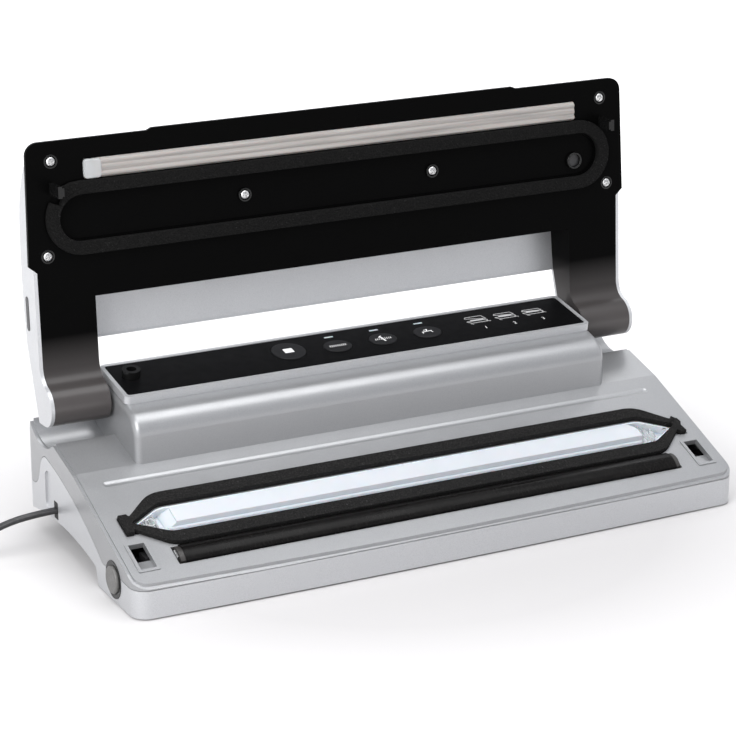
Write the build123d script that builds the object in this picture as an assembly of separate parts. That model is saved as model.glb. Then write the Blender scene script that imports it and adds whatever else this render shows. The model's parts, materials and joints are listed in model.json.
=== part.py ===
"""Bar-type vacuum sealer with its lid open, in millimetres.

X runs along the seal bar, the front is at -Y and Z is up. The origin is on the table, under the
middle of the object. Deck features are placed on DECK and lid features on LID: both frames start
at the foot of the hinge axis, so a lid feature at distance u meets the deck feature at v = -u.
"""

from build123d import *
import os
from math import cos, pi, radians, sin, sqrt, tan

# ---- overall sizes -------------------------------------------------------------------------
BASE_LENGTH = 400.0
LID_LENGTH = BASE_LENGTH + 1.0
FRONT_Y = -86.4  # middle of the bowed front face
FRONT_BOW = 2.6  # how far the ends of the front face stand back
FRONT_CORNER_R = 10.0
REAR_CORNER_R = 6.0
FOOT_PROUD = 1.0  # rubber below the housing
HOUSING_WALL = 2.4
LID_WALL = 2.2
SEAM_GAP = 0.4  # shadow line between the two housings

# ---- deck, hinge and lid -------------------------------------------------------------------
DECK_ANGLE = 21.0
SHOULDER_ANGLE = 14.4  # the deck flattens beside the hump
HINGE_Y = 58.6
HINGE_Z = 85.3
DECK_DROP = 9.2  # hinge axis above the deck plane, square to it
PLATE_DROP = 2.8  # hinge axis behind the lid's inner face
LID_OPEN_ANGLE = 86.6  # inner face of the open lid, from +Y towards +Z
CRADLE_R = 26.7
HINGE_PIN_R = 4.0
HINGE_RUN = 0.05  # pin in its bush
BUSH_WALL = 3.0

# ---- hump and control panel ----------------------------------------------------------------
ARM_WIDTH = 37.5  # each arm of the lid, beside the hump
ARM_GAP = 2.5
ARM_INNER_X = LID_LENGTH / 2 - ARM_WIDTH
HUMP_LENGTH = 2 * (ARM_INNER_X - ARM_GAP)
HUMP_END_R = 4.0
HUMP_FRONT_Y = 8.4
HUMP_SHOULDER_Z = 73.0
HUMP_SHOULDER_R = 13.0
HUMP_SHOULDER_SLOPE = 12.0
PANEL_Y = 46.6
PANEL_Z = 95.8
PANEL_TILT = 9.6
PANEL_LENGTH = HUMP_LENGTH - 7.0
PANEL_WIDTH = 38.8
PANEL_THICK = 2.0
RIM_WIDTH = 2.4
RIM_HEIGHT = 4.6

# ---- keys and port on the panel ------------------------------------------------------------
KEY_GAP = 0.3
KEY_PROUD = 0.5
KEY_TRAVEL = 0.8
STOP_KEY_R = 10.8
STOP_KEY_AT = (-42.0, 3.4)
SMALL_KEY_RX = 9.2
SMALL_KEY_RY = 7.4
SMALL_KEY_X0 = -9.9
SMALL_KEY_PITCH = 31.4
SMALL_KEY_P = 0.3
LIGHT_P = 13.4
PORT_AT = (11.0 - PANEL_LENGTH / 2, 3.2)
PORT_R = 5.6
PORT_BORE_R = 3.0
PORT_HEIGHT = 5.0

# ---- sealing geometry, as distance from the hinge ------------------------------------------
CHAMBER_U = 106.5
GASKET_HALF = 21.5
GASKET_BAND = 9.0
GASKET_TIP = BASE_LENGTH / 2 - 11.0
GASKET_STRAIGHT = GASKET_TIP - 24.0  # half length of the straight run
GASKET_PROUD = 2.8
GASKET_SUNK = 1.0
LID_GASKET_U = 109.0
LID_GASKET_HALF = 22.0
LID_GASKET_BAND = 8.0
LID_GASKET_LENGTH = 2 * GASKET_TIP + 4.4
LID_GASKET_PROUD = 3.2
CHAMBER_DEPTH = 7.5
SEAL_BAR_LENGTH = BASE_LENGTH - 66.0
SEAL_BAR_WIDTH = 13.4
SEAL_BAR_GAP = 1.6  # between the gasket and the bar
SEAL_U = CHAMBER_U + GASKET_HALF + SEAL_BAR_GAP + SEAL_BAR_WIDTH / 2
SEAL_BAR_PROUD = 3.6
SEAL_BAR_DEPTH = 6.0
STRIP_U = SEAL_U + 1.0
STRIP_LENGTH = SEAL_BAR_LENGTH - 1.2
STRIP_WIDTH = 11.6
STRIP_PROUD = 2.4
WINDOW_U = 60.9  # edge of the inner plate above the window
SHELL_EDGE_U = 30.0
PLATE_TOP_U = 155.6
PLATE_THICK = 2.5
DECK_GROOVE_U = 69.0
DECK_GROOVE_HALF = BASE_LENGTH / 2 - 16.3
DECK_GROOVE_R = 4.7
DECK_GROOVE_DEPTH = 0.6

# ---- latches and release buttons -----------------------------------------------------------
LATCH_X = BASE_LENGTH / 2 - 13.5
HOOK_U = 128.0
HOOK_LENGTH = 15.0
POCKET_LENGTH = 20.6
POCKET_WIDTH = 9.6
POCKET_U = 132.4
BUTTON_Y = -50.9
BUTTON_Z = 14.0
BUTTON_R = 8.2
BUTTON_PROUD = 2.0
BUTTON_RING_R = BUTTON_R + 3.0
BUTTON_RUN = 0.3
CATCH_X = LATCH_X - 4.4
CATCH_THICK = 3.0
RIB_X = LATCH_X - 0.5  # middle of the rib that guides the button's stem
SPRING_FOOT_X = LATCH_X + 0.5

# ---- cord ----------------------------------------------------------------------------------
CORD_D = 5.4
CORD_THICK = 3.6  # the cord is flat; this is its smaller size
CORD_EXIT = (-BASE_LENGTH / 2, 39.6, 24.0)
COIL_AT = (CORD_EXIT[0] - 100.0, 10.6)
COIL_R = 31.0  # middle of the turns
COIL_TURNS_WIDE = 3
COIL_TURNS_HIGH = 2

# ---- section of the base, as (y, z) ----------------------------------------------------------
REAR_LOW = (82.6, 11.7)
REAR_MID = (85.6, 34.0)
REAR_TOP = (77.6, 76.0)
ARCH_HEIGHT = 5.8
BLOCK_REAR_Y = -26.9
ARCH_FRONT_Y = -23.4
TALL = 150.0  # above everything in the base
SEAM_REAR = (77.6, 29.5)
SEAM_CREST = (53.6, 52.3)
SEAM_MID = (12.8, 41.1)
SEAM_FRONT = (-33.4, 17.6)
LEDGE_INSET = 2.0  # the deck stands proud of a narrow ledge round its edge
LEDGE_DROP = 0.8
LEDGE_FADE_Y = -62.0  # in front of this the ledge slopes down to the housings' seam

# ---- fits of the sealing parts ---------------------------------------------------------------
GASKET_CORNER_R = 14.0
TIP_HALF = 7.8
TIP_LENGTH = 5.0
CHAMBER_TIP = GASKET_TIP - 5.5
GROOVE_CLEAR = 0.4
TUB_WALL = 2.0
TUB_CLEAR = 0.6
TRAY_CLEAR = 0.4
TRAY_WALL = 1.2
TRAY_SHELF = 13.6  # flat shelf along the back of the tray
TRAY_DROP = 0.6  # top of the tray below the deck
CHANNEL_CLEAR = (1.2, 0.5)  # at the bar's ends and along its sides
TAPE_THICK = 0.3
WIRE = (2.5, 0.2)  # width and thickness of the flat heating wire

# ---- latch pockets ---------------------------------------------------------------------------
POCKET_WALL = 2.0
POCKET_PROUD = 0.6
POCKET_SKIRT = 3.0
FLOOR_LENGTH = 9.6  # shallow floor in the front half of a pocket
FLOOR_HIGH = 1.5
FLOOR_LOW = 3.2
FLOOR_UNDER = 6.0

# ---- screws, feet and inner fittings ---------------------------------------------------------
POST_R = 4.0
SCREW_R = 1.5
SCREW_HEAD_R = 3.0
SCREW_HEAD = 2.0
SCREW_REACH = 8.0  # past the split between the posts
FOOT_R = 8.0
FOOT_SUNK = 1.5
FOOT_X = BASE_LENGTH / 2 - 50.0
FRONT_FEET = (FOOT_X, -61.4)
REAR_FEET = (FOOT_X, 62.6)
PAD_R = 10.0
OUTER_POST_X = BASE_LENGTH / 2 - 52.0
INNER_POST_X = BASE_LENGTH / 2 - 80.0
# x, y and the height at which the lower post meets the upper one
POSTS = ((INNER_POST_X, -78.9, 9.0), (OUTER_POST_X, -3.4, 26.0), (INNER_POST_X, 72.6, 29.0))
PLATFORM_Z = 22.0
PLATFORM_SIZE = (250.0, 56.0)
PIN_HOLD = 12.0  # length of the pin inside the hump
BUSH_LENGTH = 15.0
BUSH_R = HINGE_PIN_R + HINGE_RUN + BUSH_WALL
RING_DEPTH = 7.0
STEM_R = 3.0  # stem of a release button
HOSE_R = 3.5
HOSE_WALL = 1.2
HOSE_Z = 38.0
HOSE_END_Y = -23.6
CORD_SLOT = (CORD_D + 1.2, 2 * CORD_D + 0.2)  # along Y and Z
GRIP = (13.0, 25.0)  # shallow recess in each side wall, along Y and Z
GRIP_AT = (50.6, 32.0)
GRIP_DEPTH = 1.2
BOARD_W = -7.6
BOARD_THICK = 1.6
BOARD_TOP = BOARD_W + BOARD_THICK
LIGHT_SIZE = (6.0, 1.4)

# ---- pump, motor and transformer -------------------------------------------------------------
PUMP_X = 78.0
PUMP_Y = 44.6
MOTOR_LENGTH = 52.0
MOTOR_R = 17.0
SHAFT_R = 1.5
SHAFT_RUN = 0.05
SHAFT_Z = PLATFORM_Z + 20.0
ECCENTRIC_R = 7.0
ECCENTRIC_OFFSET = 2.0
ECCENTRIC_ROOM = 1.0
PUMP_SIZE = (34.0, 40.0, 44.0)
MOTOR_END_X = PUMP_X - PUMP_SIZE[0] / 2
TRANSFORMER_X = -85.0
CORE_SIZE = (56.0, 40.0, 42.0)
WINDING_SIZE = (36.0, 52.0, 28.0)

# ---- section and outline of the lid ----------------------------------------------------------
NOSE_U = -0.5
NOSE_W = 4.2
NOSE_R = 12.3
THROAT_R = 12.0
HEEL_U = NOSE_U - NOSE_R
HEEL_W = -7.5
BACK_LOW = (31.6, -23.4)
BACK_MID = (68.0, -25.8)
BACK_HIGH = (104.0, -24.2)
BACK_TURN = (131.9, -16.6)
BACK_TOP = 151.0
PLATE_LOW_HALF = LID_LENGTH / 2 + 2.5
PLATE_TOP_HALF = LID_LENGTH / 2 + 0.5
PLATE_STEP_U = 83.0
LIP_HALF = 125.0
LIP_RISE = 1.4
COVER_X = LID_LENGTH / 2 - LID_WALL
LID_SIDE_R = 5.0
TOP_SCREW_X = LID_LENGTH / 2 - 14.5
SIDE_SCREW_X = LID_LENGTH / 2 - 9.5
MID_SCREW_X = 64.0
SCREW_PAIRS = ((TOP_SCREW_X, 143.8), (SIDE_SCREW_X, 88.0), (MID_SCREW_X, 110.0))
LID_SCREWS = [(s * x, u) for x, u in SCREW_PAIRS for s in (-1, 1)]
INSERT_U = 52.0
INSERT_W = -14.5
INSERT_SIZE = (21.0, 4.6)
INSERT_DEPTH = 1.4

# ---- gland, free cord and plug ---------------------------------------------------------------
GLAND_DEPTH = 9.0
SIDE_X = CORD_EXIT[0]
CORD_ROUTE = [
    CORD_EXIT, (SIDE_X - 16.0, 39.6, 23.6), (SIDE_X - 33.0, 40.4, 20.5), (SIDE_X - 50.0, 42.4, 12.6),
    (SIDE_X - 67.0, 44.8, 4.4), (SIDE_X - 84.0, 46.4, 2.9), (SIDE_X - 99.0, 47.0, 2.75),
]
PLUG_X = COIL_AT[0] - 36.0
TAIL_START = (PLUG_X, 4.0, 5.2)
PLUG_AT = (PLUG_X, -47.0, 7.2)
PLUG_SIZE = (35.3, 33.0, 14.0)
PIN_R = 2.0
PIN_LENGTH = 19.0
PIN_HALF_PITCH = 9.3

# ---- working frames ------------------------------------------------------------------------
UP = (Align.CENTER, Align.CENTER, Align.MIN)
SIDE = Plane(origin=(0, 0, 0), x_dir=(0, 1, 0), z_dir=(1, 0, 0))  # (y, z)


def turned(angle, a, b):
    """(y, z) of a step a along a direction at this angle and b square to it, on its left."""
    c = cos(radians(angle))
    s = sin(radians(angle))
    return (a * c - b * s, a * s + b * c)


def frame_at(y, z, angle):
    """Plane holding X and the direction at this angle; its local (x, y, z) is (X, along, above)."""
    up = turned(angle, 0, 1)
    return Plane(origin=(0, y, z), x_dir=(1, 0, 0), z_dir=(0, up[0], up[1]))


deck_foot = turned(DECK_ANGLE, 0, -DECK_DROP)
DECK = frame_at(HINGE_Y + deck_foot[0], HINGE_Z + deck_foot[1], DECK_ANGLE)
plate_foot = turned(LID_OPEN_ANGLE, 0, PLATE_DROP)
LID = frame_at(HINGE_Y + plate_foot[0], HINGE_Z + plate_foot[1], LID_OPEN_ANGLE)
along_lid = turned(LID_OPEN_ANGLE, 1, 0)
LID_SIDE = Plane(origin=LID.origin, x_dir=(0, along_lid[0], along_lid[1]), z_dir=(1, 0, 0))  # (u, w)
PANEL = frame_at(PANEL_Y, PANEL_Z, PANEL_TILT)
DECK_SIDE = Plane(origin=DECK.origin, x_dir=(0, *turned(DECK_ANGLE, 1, 0)), z_dir=(1, 0, 0))


def deck_z(y):
    return DECK.origin.Z + (y - DECK.origin.Y) * tan(radians(DECK_ANGLE))


def panel_point(p, w):
    """(y, z) of a point p along the panel's slope and w above its face."""
    step = turned(PANEL_TILT, p, w)
    return (PANEL_Y + step[0], PANEL_Z + step[1])


def block(frame, x, y, w, size_x, size_y, size_w):
    """Box centred at (x, y) on a frame, from height w up."""
    return extrude(frame.offset(w) * Pos(x, y) * Rectangle(size_x, size_y), size_w)


def rounded(frame, x, y, w, size_x, size_y, size_w, r):
    return extrude(frame.offset(w) * Pos(x, y) * RectangleRounded(size_x, size_y, r), size_w)


def disc(frame, x, y, w, r, height):
    return extrude(frame.offset(w) * Pos(x, y) * Circle(r), height)


def along_x(face, half):
    return extrude(face, half, both=True)


def cyl_x(x0, x1, y, z, r):
    """Cylinder along X between x0 and x1."""
    end = Plane(origin=(min(x0, x1), y, z), x_dir=(0, 1, 0), z_dir=(1, 0, 0))
    return extrude(end * Circle(r), abs(x1 - x0))


# ---- base housings -------------------------------------------------------------------------
FOOT_Y = HUMP_FRONT_Y + 0.9  # where the deck turns into the flatter shoulders


def side_face():
    """Section of the base beside the hump, without the cradle."""
    far_front = FRONT_Y - 12
    foot = (FOOT_Y, deck_z(FOOT_Y))
    top = (REAR_TOP[0], foot[1] + (REAR_TOP[0] - FOOT_Y) * tan(radians(SHOULDER_ANGLE)))
    arch_front = (ARCH_FRONT_Y, REAR_LOW[1])
    arch_top = ((ARCH_FRONT_Y + REAR_LOW[0]) / 2, REAR_LOW[1] + ARCH_HEIGHT)
    block_low = (BLOCK_REAR_Y, FOOT_PROUD)
    edges = [
        Polyline(arch_front, block_low, (far_front, FOOT_PROUD)),
        Polyline((far_front, FOOT_PROUD), (far_front, deck_z(far_front)), foot, top),
        ThreePointArc(top, REAR_MID, REAR_LOW),
        ThreePointArc(REAR_LOW, arch_top, arch_front),
    ]
    return make_face(edges)


def hump_face():
    """Section of the hump down into the base."""
    rim_p = PANEL_WIDTH / 2 + RIM_WIDTH
    step_foot = panel_point(-rim_p, -RIM_HEIGHT)
    back = panel_point(rim_p, -RIM_HEIGHT)
    centre = (HUMP_FRONT_Y + HUMP_SHOULDER_R, HUMP_SHOULDER_Z)
    end = 90 + HUMP_SHOULDER_SLOPE
    arc = CenterArc(centre, HUMP_SHOULDER_R, end, 180 - end)
    low = 30.0
    edges = [
        arc,
        Polyline(arc @ 1, (HUMP_FRONT_Y, low), (REAR_TOP[0], low), (REAR_TOP[0], REAR_TOP[1] + 10), back),
        Polyline(back, step_foot, arc @ 0),
    ]
    return make_face(edges)


def hump_solid():
    """Hump with the front edges of its ends rounded."""
    half = HUMP_LENGTH / 2
    body = along_x(SIDE * hump_face(), half)
    front = HUMP_FRONT_Y + HUMP_SHOULDER_R
    ends = [e for e in body.edges() if abs(abs(e.center().X) - half) < 0.01 and e.center().Y < front]
    return fillet(ends, HUMP_END_R)


def plan_face(inset):
    """Plan of the base: bowed front, rounded corners."""
    half = BASE_LENGTH / 2 - inset
    front = FRONT_Y + inset
    rear = REAR_MID[0] - inset
    edges = [
        ThreePointArc((-half, front + FRONT_BOW), (0, front), (half, front + FRONT_BOW)),
        Polyline((half, front + FRONT_BOW), (half, rear), (-half, rear), (-half, front + FRONT_BOW)),
    ]
    face = make_face(edges)
    corners = face.vertices().sort_by(Axis.Y)
    face = fillet(corners[2:], REAR_CORNER_R)
    return fillet(face.vertices().sort_by(Axis.Y)[:2], FRONT_CORNER_R - inset)


def base_solid(inset):
    """Outer shape of both housings together, or the cavity inside walls of this thickness."""
    cheeks = side_face() - Pos(HINGE_Y, HINGE_Z) * Circle(CRADLE_R)
    hump = hump_solid()
    if inset:
        cheeks = offset(cheeks, -inset)
        hump = along_x(SIDE * offset(hump_face(), -inset), HUMP_LENGTH / 2 - inset)
    body = along_x(SIDE * cheeks, BASE_LENGTH / 2 - inset)
    body = body & extrude(plan_face(inset), TALL)
    return body + hump


def above_seam(lift):
    """Region above the line where the two housings meet, or this much above it."""
    crest = (SEAM_CREST[0], SEAM_CREST[1] + lift)
    rear = (SEAM_REAR[0], SEAM_REAR[1] + lift)
    mid = (SEAM_MID[0], SEAM_MID[1] + lift)
    front = (SEAM_FRONT[0], SEAM_FRONT[1] + lift)
    edges = [
        Polyline((FRONT_Y - 20, TALL), (FRONT_Y - 20, front[1]), front),
        ThreePointArc(front, mid, crest),
        Spline(crest, rear, tangents=[(1, 0), (1, 0)]),
        Polyline(rear, (120, rear[1]), (120, TALL), (FRONT_Y - 20, TALL)),
    ]
    return along_x(SIDE * make_face(edges), BASE_LENGTH)


OUTER = base_solid(0)
CAVITY = base_solid(HOUSING_WALL)


def both_sides(make):
    return [make(side) for side in (-1, 1)]


def ring_outline(half, straight, tip, tip_half):
    """Long hexagon on the deck, centred on the chamber; a blunt tip if tip_half is given."""
    right = [(straight, half), (tip, tip_half), (tip, -tip_half), (straight, -half)]
    if not tip_half:
        right = [(straight, half), (tip, 0), (straight, -half)]
    left = [(-x, -y) for x, y in right]
    face = make_face(Polyline(*right, *left, close=True))
    corners = [v for v in face.vertices() if abs(abs(v.X) - straight) < 0.01]
    return fillet(corners, GASKET_CORNER_R)


def gasket_outline(grow):
    """Outline of the lower gasket with its block tips, grown by a clearance."""
    slant_end = GASKET_TIP - TIP_LENGTH
    face = ring_outline(GASKET_HALF + grow, GASKET_STRAIGHT, slant_end + TIP_LENGTH / 2 + grow, 2.0)
    tips = Rectangle(2 * GASKET_TIP + 2 * grow, 2 * TIP_HALF + 2 * grow)
    cut = Rectangle(2 * slant_end - 2 * grow, 3 * TIP_HALF)
    return Pos(0, -CHAMBER_U) * (face + (tips - cut) + Rectangle(2 * slant_end, 2 * TIP_HALF))


def chamber_outline(shrink):
    """Clear outline inside the gasket, shrunk by a clearance or a wall."""
    half = GASKET_HALF - GASKET_BAND - shrink
    return Pos(0, -CHAMBER_U) * ring_outline(half, GASKET_STRAIGHT - 2.0, CHAMBER_TIP - 1.6 * shrink, 0)


def deck_cut(face, top, depth):
    return extrude(DECK.offset(top - depth) * face, depth)


def pocket(x):
    """Latch pocket: right through the deck at the rear, with a shallow floor at the front."""
    return block(DECK, x, -POCKET_U, -12, POCKET_WIDTH, POCKET_LENGTH, 20)


def pocket_frame(x):
    size = (POCKET_WIDTH + 2 * POCKET_WALL, POCKET_LENGTH + 2 * POCKET_WALL)
    return rounded(DECK, x, -POCKET_U, -POCKET_SKIRT, *size, POCKET_SKIRT + POCKET_PROUD, 1.0)


def pocket_floor(x):
    """Shallow sloping floor in the front half of a latch pocket."""
    front = -POCKET_U - POCKET_LENGTH / 2
    back = front + FLOOR_LENGTH
    points = [(front, -FLOOR_HIGH), (back, -FLOOR_LOW), (back, -FLOOR_UNDER), (front, -FLOOR_UNDER)]
    return Pos(x, 0, 0) * along_x(DECK_SIDE * make_face(Polyline(*points, close=True)), POCKET_WIDTH / 2)


def posts(low):
    """Screw posts: the lower housing's up to the split, or the upper housing's above it."""
    made = []
    for x, y, split in POSTS:
        for side in (-1, 1):
            foot = 0 if low else split
            top = split if low else 100
            made.append(Pos(side * x, y, foot) * Cylinder(POST_R, top - foot, align=UP))
    return made


def shoulder_limit():
    """The whole deck, its edge dropped to a ledge at the sides that fades out round the front."""
    cheeks = side_face() - Pos(HINGE_Y, HINGE_Z) * Circle(CRADLE_R)
    ledge = along_x(SIDE * offset(cheeks, -LEDGE_DROP), BASE_LENGTH / 2)
    fade = [
        (FRONT_Y, SEAM_FRONT[1]), (LEDGE_FADE_Y, deck_z(LEDGE_FADE_Y)), (LEDGE_FADE_Y, TALL), (TALL, TALL),
        (TALL, 0), (FRONT_Y, 0),
    ]
    kept = along_x(SIDE * make_face(Polyline(*fade, close=True)), BASE_LENGTH)
    return extrude(plan_face(LEDGE_INSET), TALL) + (ledge & kept)


def post_bores(r, past):
    """Screw holes up the posts, to this far past the split between them."""
    return [Pos(s * x, y, 0) * Cylinder(r, split + past, align=UP) for x, y, split in POSTS for s in (-1, 1)]


def button_axis(side, x0, x1, r):
    return cyl_x(side * x0, side * x1, BUTTON_Y, BUTTON_Z, r)


def hinge_axis(side, x0, x1, r):
    return cyl_x(side * x0, side * x1, HINGE_Y, HINGE_Z, r)


def catch_slot(side):
    """Way for the catch beside a latch pocket, under the deck."""
    room = Box(CATCH_THICK + 4.4, 11.4, 18.3, align=UP)
    return Pos(side * (CATCH_X - 1.5), BUTTON_Y - 3.5, 9.0) * room


def deck_groove():
    """Shallow round-ended groove along the deck behind the gasket."""
    centre = DECK_GROOVE_R - DECK_GROOVE_DEPTH
    section = Pos(-DECK_GROOVE_U, centre) * Circle(DECK_GROOVE_R)
    body = along_x(DECK_SIDE * section, DECK_GROOVE_HALF)
    for side in (-1, 1):
        body += DECK * Pos(side * DECK_GROOVE_HALF, -DECK_GROOVE_U, centre) * Sphere(DECK_GROOVE_R)
    return body


def upper_housing():
    body = ((OUTER - CAVITY) & above_seam(SEAM_GAP)) & shoulder_limit()
    tub = deck_cut(chamber_outline(TUB_CLEAR - TUB_WALL), 0, CHAMBER_DEPTH + TUB_WALL)
    channel = (SEAL_BAR_LENGTH + 2 * CHANNEL_CLEAR[0], SEAL_BAR_WIDTH + 2 * CHANNEL_CLEAR[1])
    trough = block(
        DECK, 0, -SEAL_U, -SEAL_BAR_DEPTH - TUB_WALL, channel[0] + 2 * TUB_WALL, channel[1] + TUB_WALL,
        SEAL_BAR_DEPTH + TUB_WALL - 0.2,
    )
    added = [tub, trough & OUTER] + both_sides(lambda s: pocket_frame(s * LATCH_X))
    added += [post & CAVITY for post in posts(False)]
    half = HUMP_LENGTH / 2
    added += both_sides(lambda s: hinge_axis(s, half - PIN_HOLD, half - 0.1, HINGE_PIN_R + BUSH_WALL))
    for piece in added:
        body += piece
    cuts = [
        deck_cut(chamber_outline(TUB_CLEAR), 1, CHAMBER_DEPTH + 1),
        deck_cut(gasket_outline(GROOVE_CLEAR), 1, GASKET_SUNK + 1),
        block(DECK, 0, -SEAL_U, -SEAL_BAR_DEPTH, *channel, 20),
        deck_groove(),
        block(PANEL, 0, 0, -20, PANEL_LENGTH - 14, PANEL_WIDTH - 9, 30),
    ]
    cuts += both_sides(lambda s: pocket(s * LATCH_X))
    cuts += both_sides(catch_slot)
    cuts += both_sides(lambda s: hinge_axis(s, half - PIN_HOLD - 5, half + 5, HINGE_PIN_R))
    end = BASE_LENGTH / 2
    cuts += both_sides(lambda s: button_axis(s, end - 30, end + 9, BUTTON_RING_R + 0.1))
    cuts += post_bores(SCREW_R, SCREW_REACH + 1)
    for cut in cuts:
        body -= cut
    for side in (-1, 1):
        body += pocket_floor(side * LATCH_X)
    return body


def side_slot(side, y, z, size_y, size_z, depth, r):
    plane = Plane(origin=(side * BASE_LENGTH / 2, y, z), x_dir=(0, 1, 0), z_dir=(-side, 0, 0))
    return extrude(plane.offset(-1) * RectangleRounded(size_y, size_z, r), depth + 1)


def lower_housing():
    body = (OUTER - CAVITY) - above_seam(0)
    inside = CAVITY - above_seam(0)
    for side in (-1, 1):
        pad = Pos(side * REAR_FEET[0], REAR_FEET[1], 2 * FOOT_PROUD) * Cylinder(PAD_R, 16, align=UP)
        body += pad - CAVITY
    for post in posts(True):
        body += post & inside
    floor = Pos(0, PUMP_Y - 1, 0) * Box(*PLATFORM_SIZE, PLATFORM_Z, align=UP)
    body += floor & inside
    for side in (-1, 1):
        body += (Pos(side * RIB_X, BUTTON_Y, 0) * Box(2.0, 16, 20, align=UP)) & inside
    cuts = both_sides(lambda s: button_axis(s, RIB_X + 4, BASE_LENGTH / 2 + 9, BUTTON_RING_R + 0.1))
    cuts += both_sides(lambda s: button_axis(s, RIB_X - 6, RIB_X + 4, STEM_R + 0.5))
    cuts += both_sides(lambda s: side_slot(s, *GRIP_AT, *GRIP, GRIP_DEPTH, 5.0))
    cuts.append(side_slot(-1, CORD_EXIT[1], CORD_EXIT[2], *CORD_SLOT, HOUSING_WALL + 5, 1.0))
    cuts += post_bores(SCREW_R, 1)
    for x, y, _ in POSTS:
        cuts += both_sides(lambda s: Pos(s * x, y, 0) * Cylinder(SCREW_HEAD_R + 0.3, head_z(y), align=UP))
    cuts += feet()
    for cut in cuts:
        body -= cut
    return body


def head_z(y):
    """Height of the seat of a housing screw's head."""
    return FOOT_PROUD + SCREW_HEAD + 0.5 if y < BLOCK_REAR_Y else 20.0


def feet():
    top_front = FOOT_PROUD + FOOT_SUNK
    top_rear = 2 * FOOT_PROUD + FOOT_SUNK
    made = []
    for (x, y), top in ((FRONT_FEET, top_front), (REAR_FEET, top_rear)):
        for side in (-1, 1):
            made.append(Pos(side * x, y, 0) * Cylinder(FOOT_R, top, align=UP))
    return made


# ---- hump fittings -------------------------------------------------------------------------
def small_keys():
    return [(SMALL_KEY_X0 + i * SMALL_KEY_PITCH, SMALL_KEY_P) for i in range(3)]


def panel_rim():
    size = (PANEL_LENGTH + 2 * RIM_WIDTH, PANEL_WIDTH + 2 * RIM_WIDTH)
    body = rounded(PANEL, 0, 0, -RIM_HEIGHT, *size, RIM_HEIGHT + 0.4, 3.5)
    body -= rounded(PANEL, 0, 0, -PANEL_THICK, PANEL_LENGTH, PANEL_WIDTH, 5, 2.0)
    return body - block(PANEL, 0, 0, -10, PANEL_LENGTH - 6, PANEL_WIDTH - 6, 20)


def key_outline(index, grow):
    """Outline and centre of the stop key (0) or one of the three oval keys."""
    if index == 0:
        return STOP_KEY_AT, Circle(STOP_KEY_R + grow)
    return small_keys()[index - 1], Ellipse(SMALL_KEY_RX + grow, SMALL_KEY_RY + grow)


def control_panel():
    body = rounded(PANEL, 0, 0, -PANEL_THICK, PANEL_LENGTH - 0.1, PANEL_WIDTH - 0.1, PANEL_THICK, 1.95)
    for index in range(4):
        at, face = key_outline(index, KEY_GAP)
        body -= extrude(PANEL.offset(-5) * Pos(*at) * face, 9)
    for x, _ in small_keys():
        body -= block(PANEL, x, LIGHT_P, -5, *LIGHT_SIZE, 9)
    body -= disc(PANEL, *PORT_AT, -5, PORT_R + 0.05, 9)
    for side in (-1, 1):
        body += disc(PANEL, side * 120.0, 0, BOARD_TOP, 2.5, -PANEL_THICK - BOARD_TOP)
    return body


def key_lights():
    return [block(PANEL, x, LIGHT_P, -PANEL_THICK, *LIGHT_SIZE, PANEL_THICK + 0.05) for x, _ in small_keys()]


def key(index):
    """Key cap with a flange under the panel and a stem towards its switch."""
    at, cap = key_outline(index, 0)
    _, flange = key_outline(index, KEY_GAP + 0.9)
    low = -PANEL_THICK - KEY_GAP - 1.2
    body = extrude(PANEL.offset(low) * Pos(*at) * cap, KEY_PROUD - low)
    body += extrude(PANEL.offset(low) * Pos(*at) * flange, 1.2)
    body += disc(PANEL, *at, BOARD_TOP + KEY_TRAVEL + 0.2, 2.0, low - BOARD_TOP - KEY_TRAVEL - 0.2)
    top = body.edges().sort_by(Axis((0, PANEL_Y, PANEL_Z), PANEL.z_dir))[-1]
    return fillet([top], 0.4)


def control_board():
    return block(PANEL, 0, 0, BOARD_W, 280.0, 26.0, BOARD_THICK)


def hose_port():
    body = disc(PANEL, *PORT_AT, -4.0, PORT_R, 4.0 + PORT_HEIGHT)
    body += disc(PANEL, *PORT_AT, -4.0, PORT_R + 2.0, 4.0 - PANEL_THICK)
    body -= disc(PANEL, *PORT_AT, -9, PORT_BORE_R, 20)
    return body


# ---- sealing parts on the deck -------------------------------------------------------------
def lower_gasket():
    hole = chamber_outline(0)
    return deck_cut(gasket_outline(0) - hole, GASKET_PROUD, GASKET_PROUD + GASKET_SUNK)


def chamber_tray():
    """Trough that lies in the chamber, with a raised shelf along its back."""
    clear = TUB_CLEAR + TRAY_CLEAR
    full = deck_cut(chamber_outline(clear), -TRAY_DROP, CHAMBER_DEPTH - TRAY_DROP)
    inside = deck_cut(chamber_outline(clear + TRAY_WALL), 5, CHAMBER_DEPTH + 5 - TRAY_WALL)
    back = -CHAMBER_U + GASKET_HALF - GASKET_BAND - clear
    length = 2 * GASKET_STRAIGHT
    shelf = block(DECK, 0, back - TRAY_SHELF / 2, -CHAMBER_DEPTH, length, TRAY_SHELF, CHAMBER_DEPTH)
    return (full - inside) + (full & shelf)


def seal_bar_face(shrink):
    """Section of the bar on the deck: flat sides and a crowned top."""
    half = SEAL_BAR_WIDTH / 2 - shrink
    top = SEAL_BAR_PROUD - shrink
    edge = top - 2.2
    low = -SEAL_BAR_DEPTH
    return make_face([
        Polyline((half - SEAL_U, edge), (half - SEAL_U, low), (-half - SEAL_U, low), (-half - SEAL_U, edge)),
        ThreePointArc((-half - SEAL_U, edge), (-SEAL_U, top), (half - SEAL_U, edge)),
    ])


def bar_skin(outer, inner, low):
    skin = seal_bar_face(outer) - seal_bar_face(inner)
    keep = Pos(-SEAL_U, low + 10) * Rectangle(40, 20)
    return skin & keep


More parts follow.
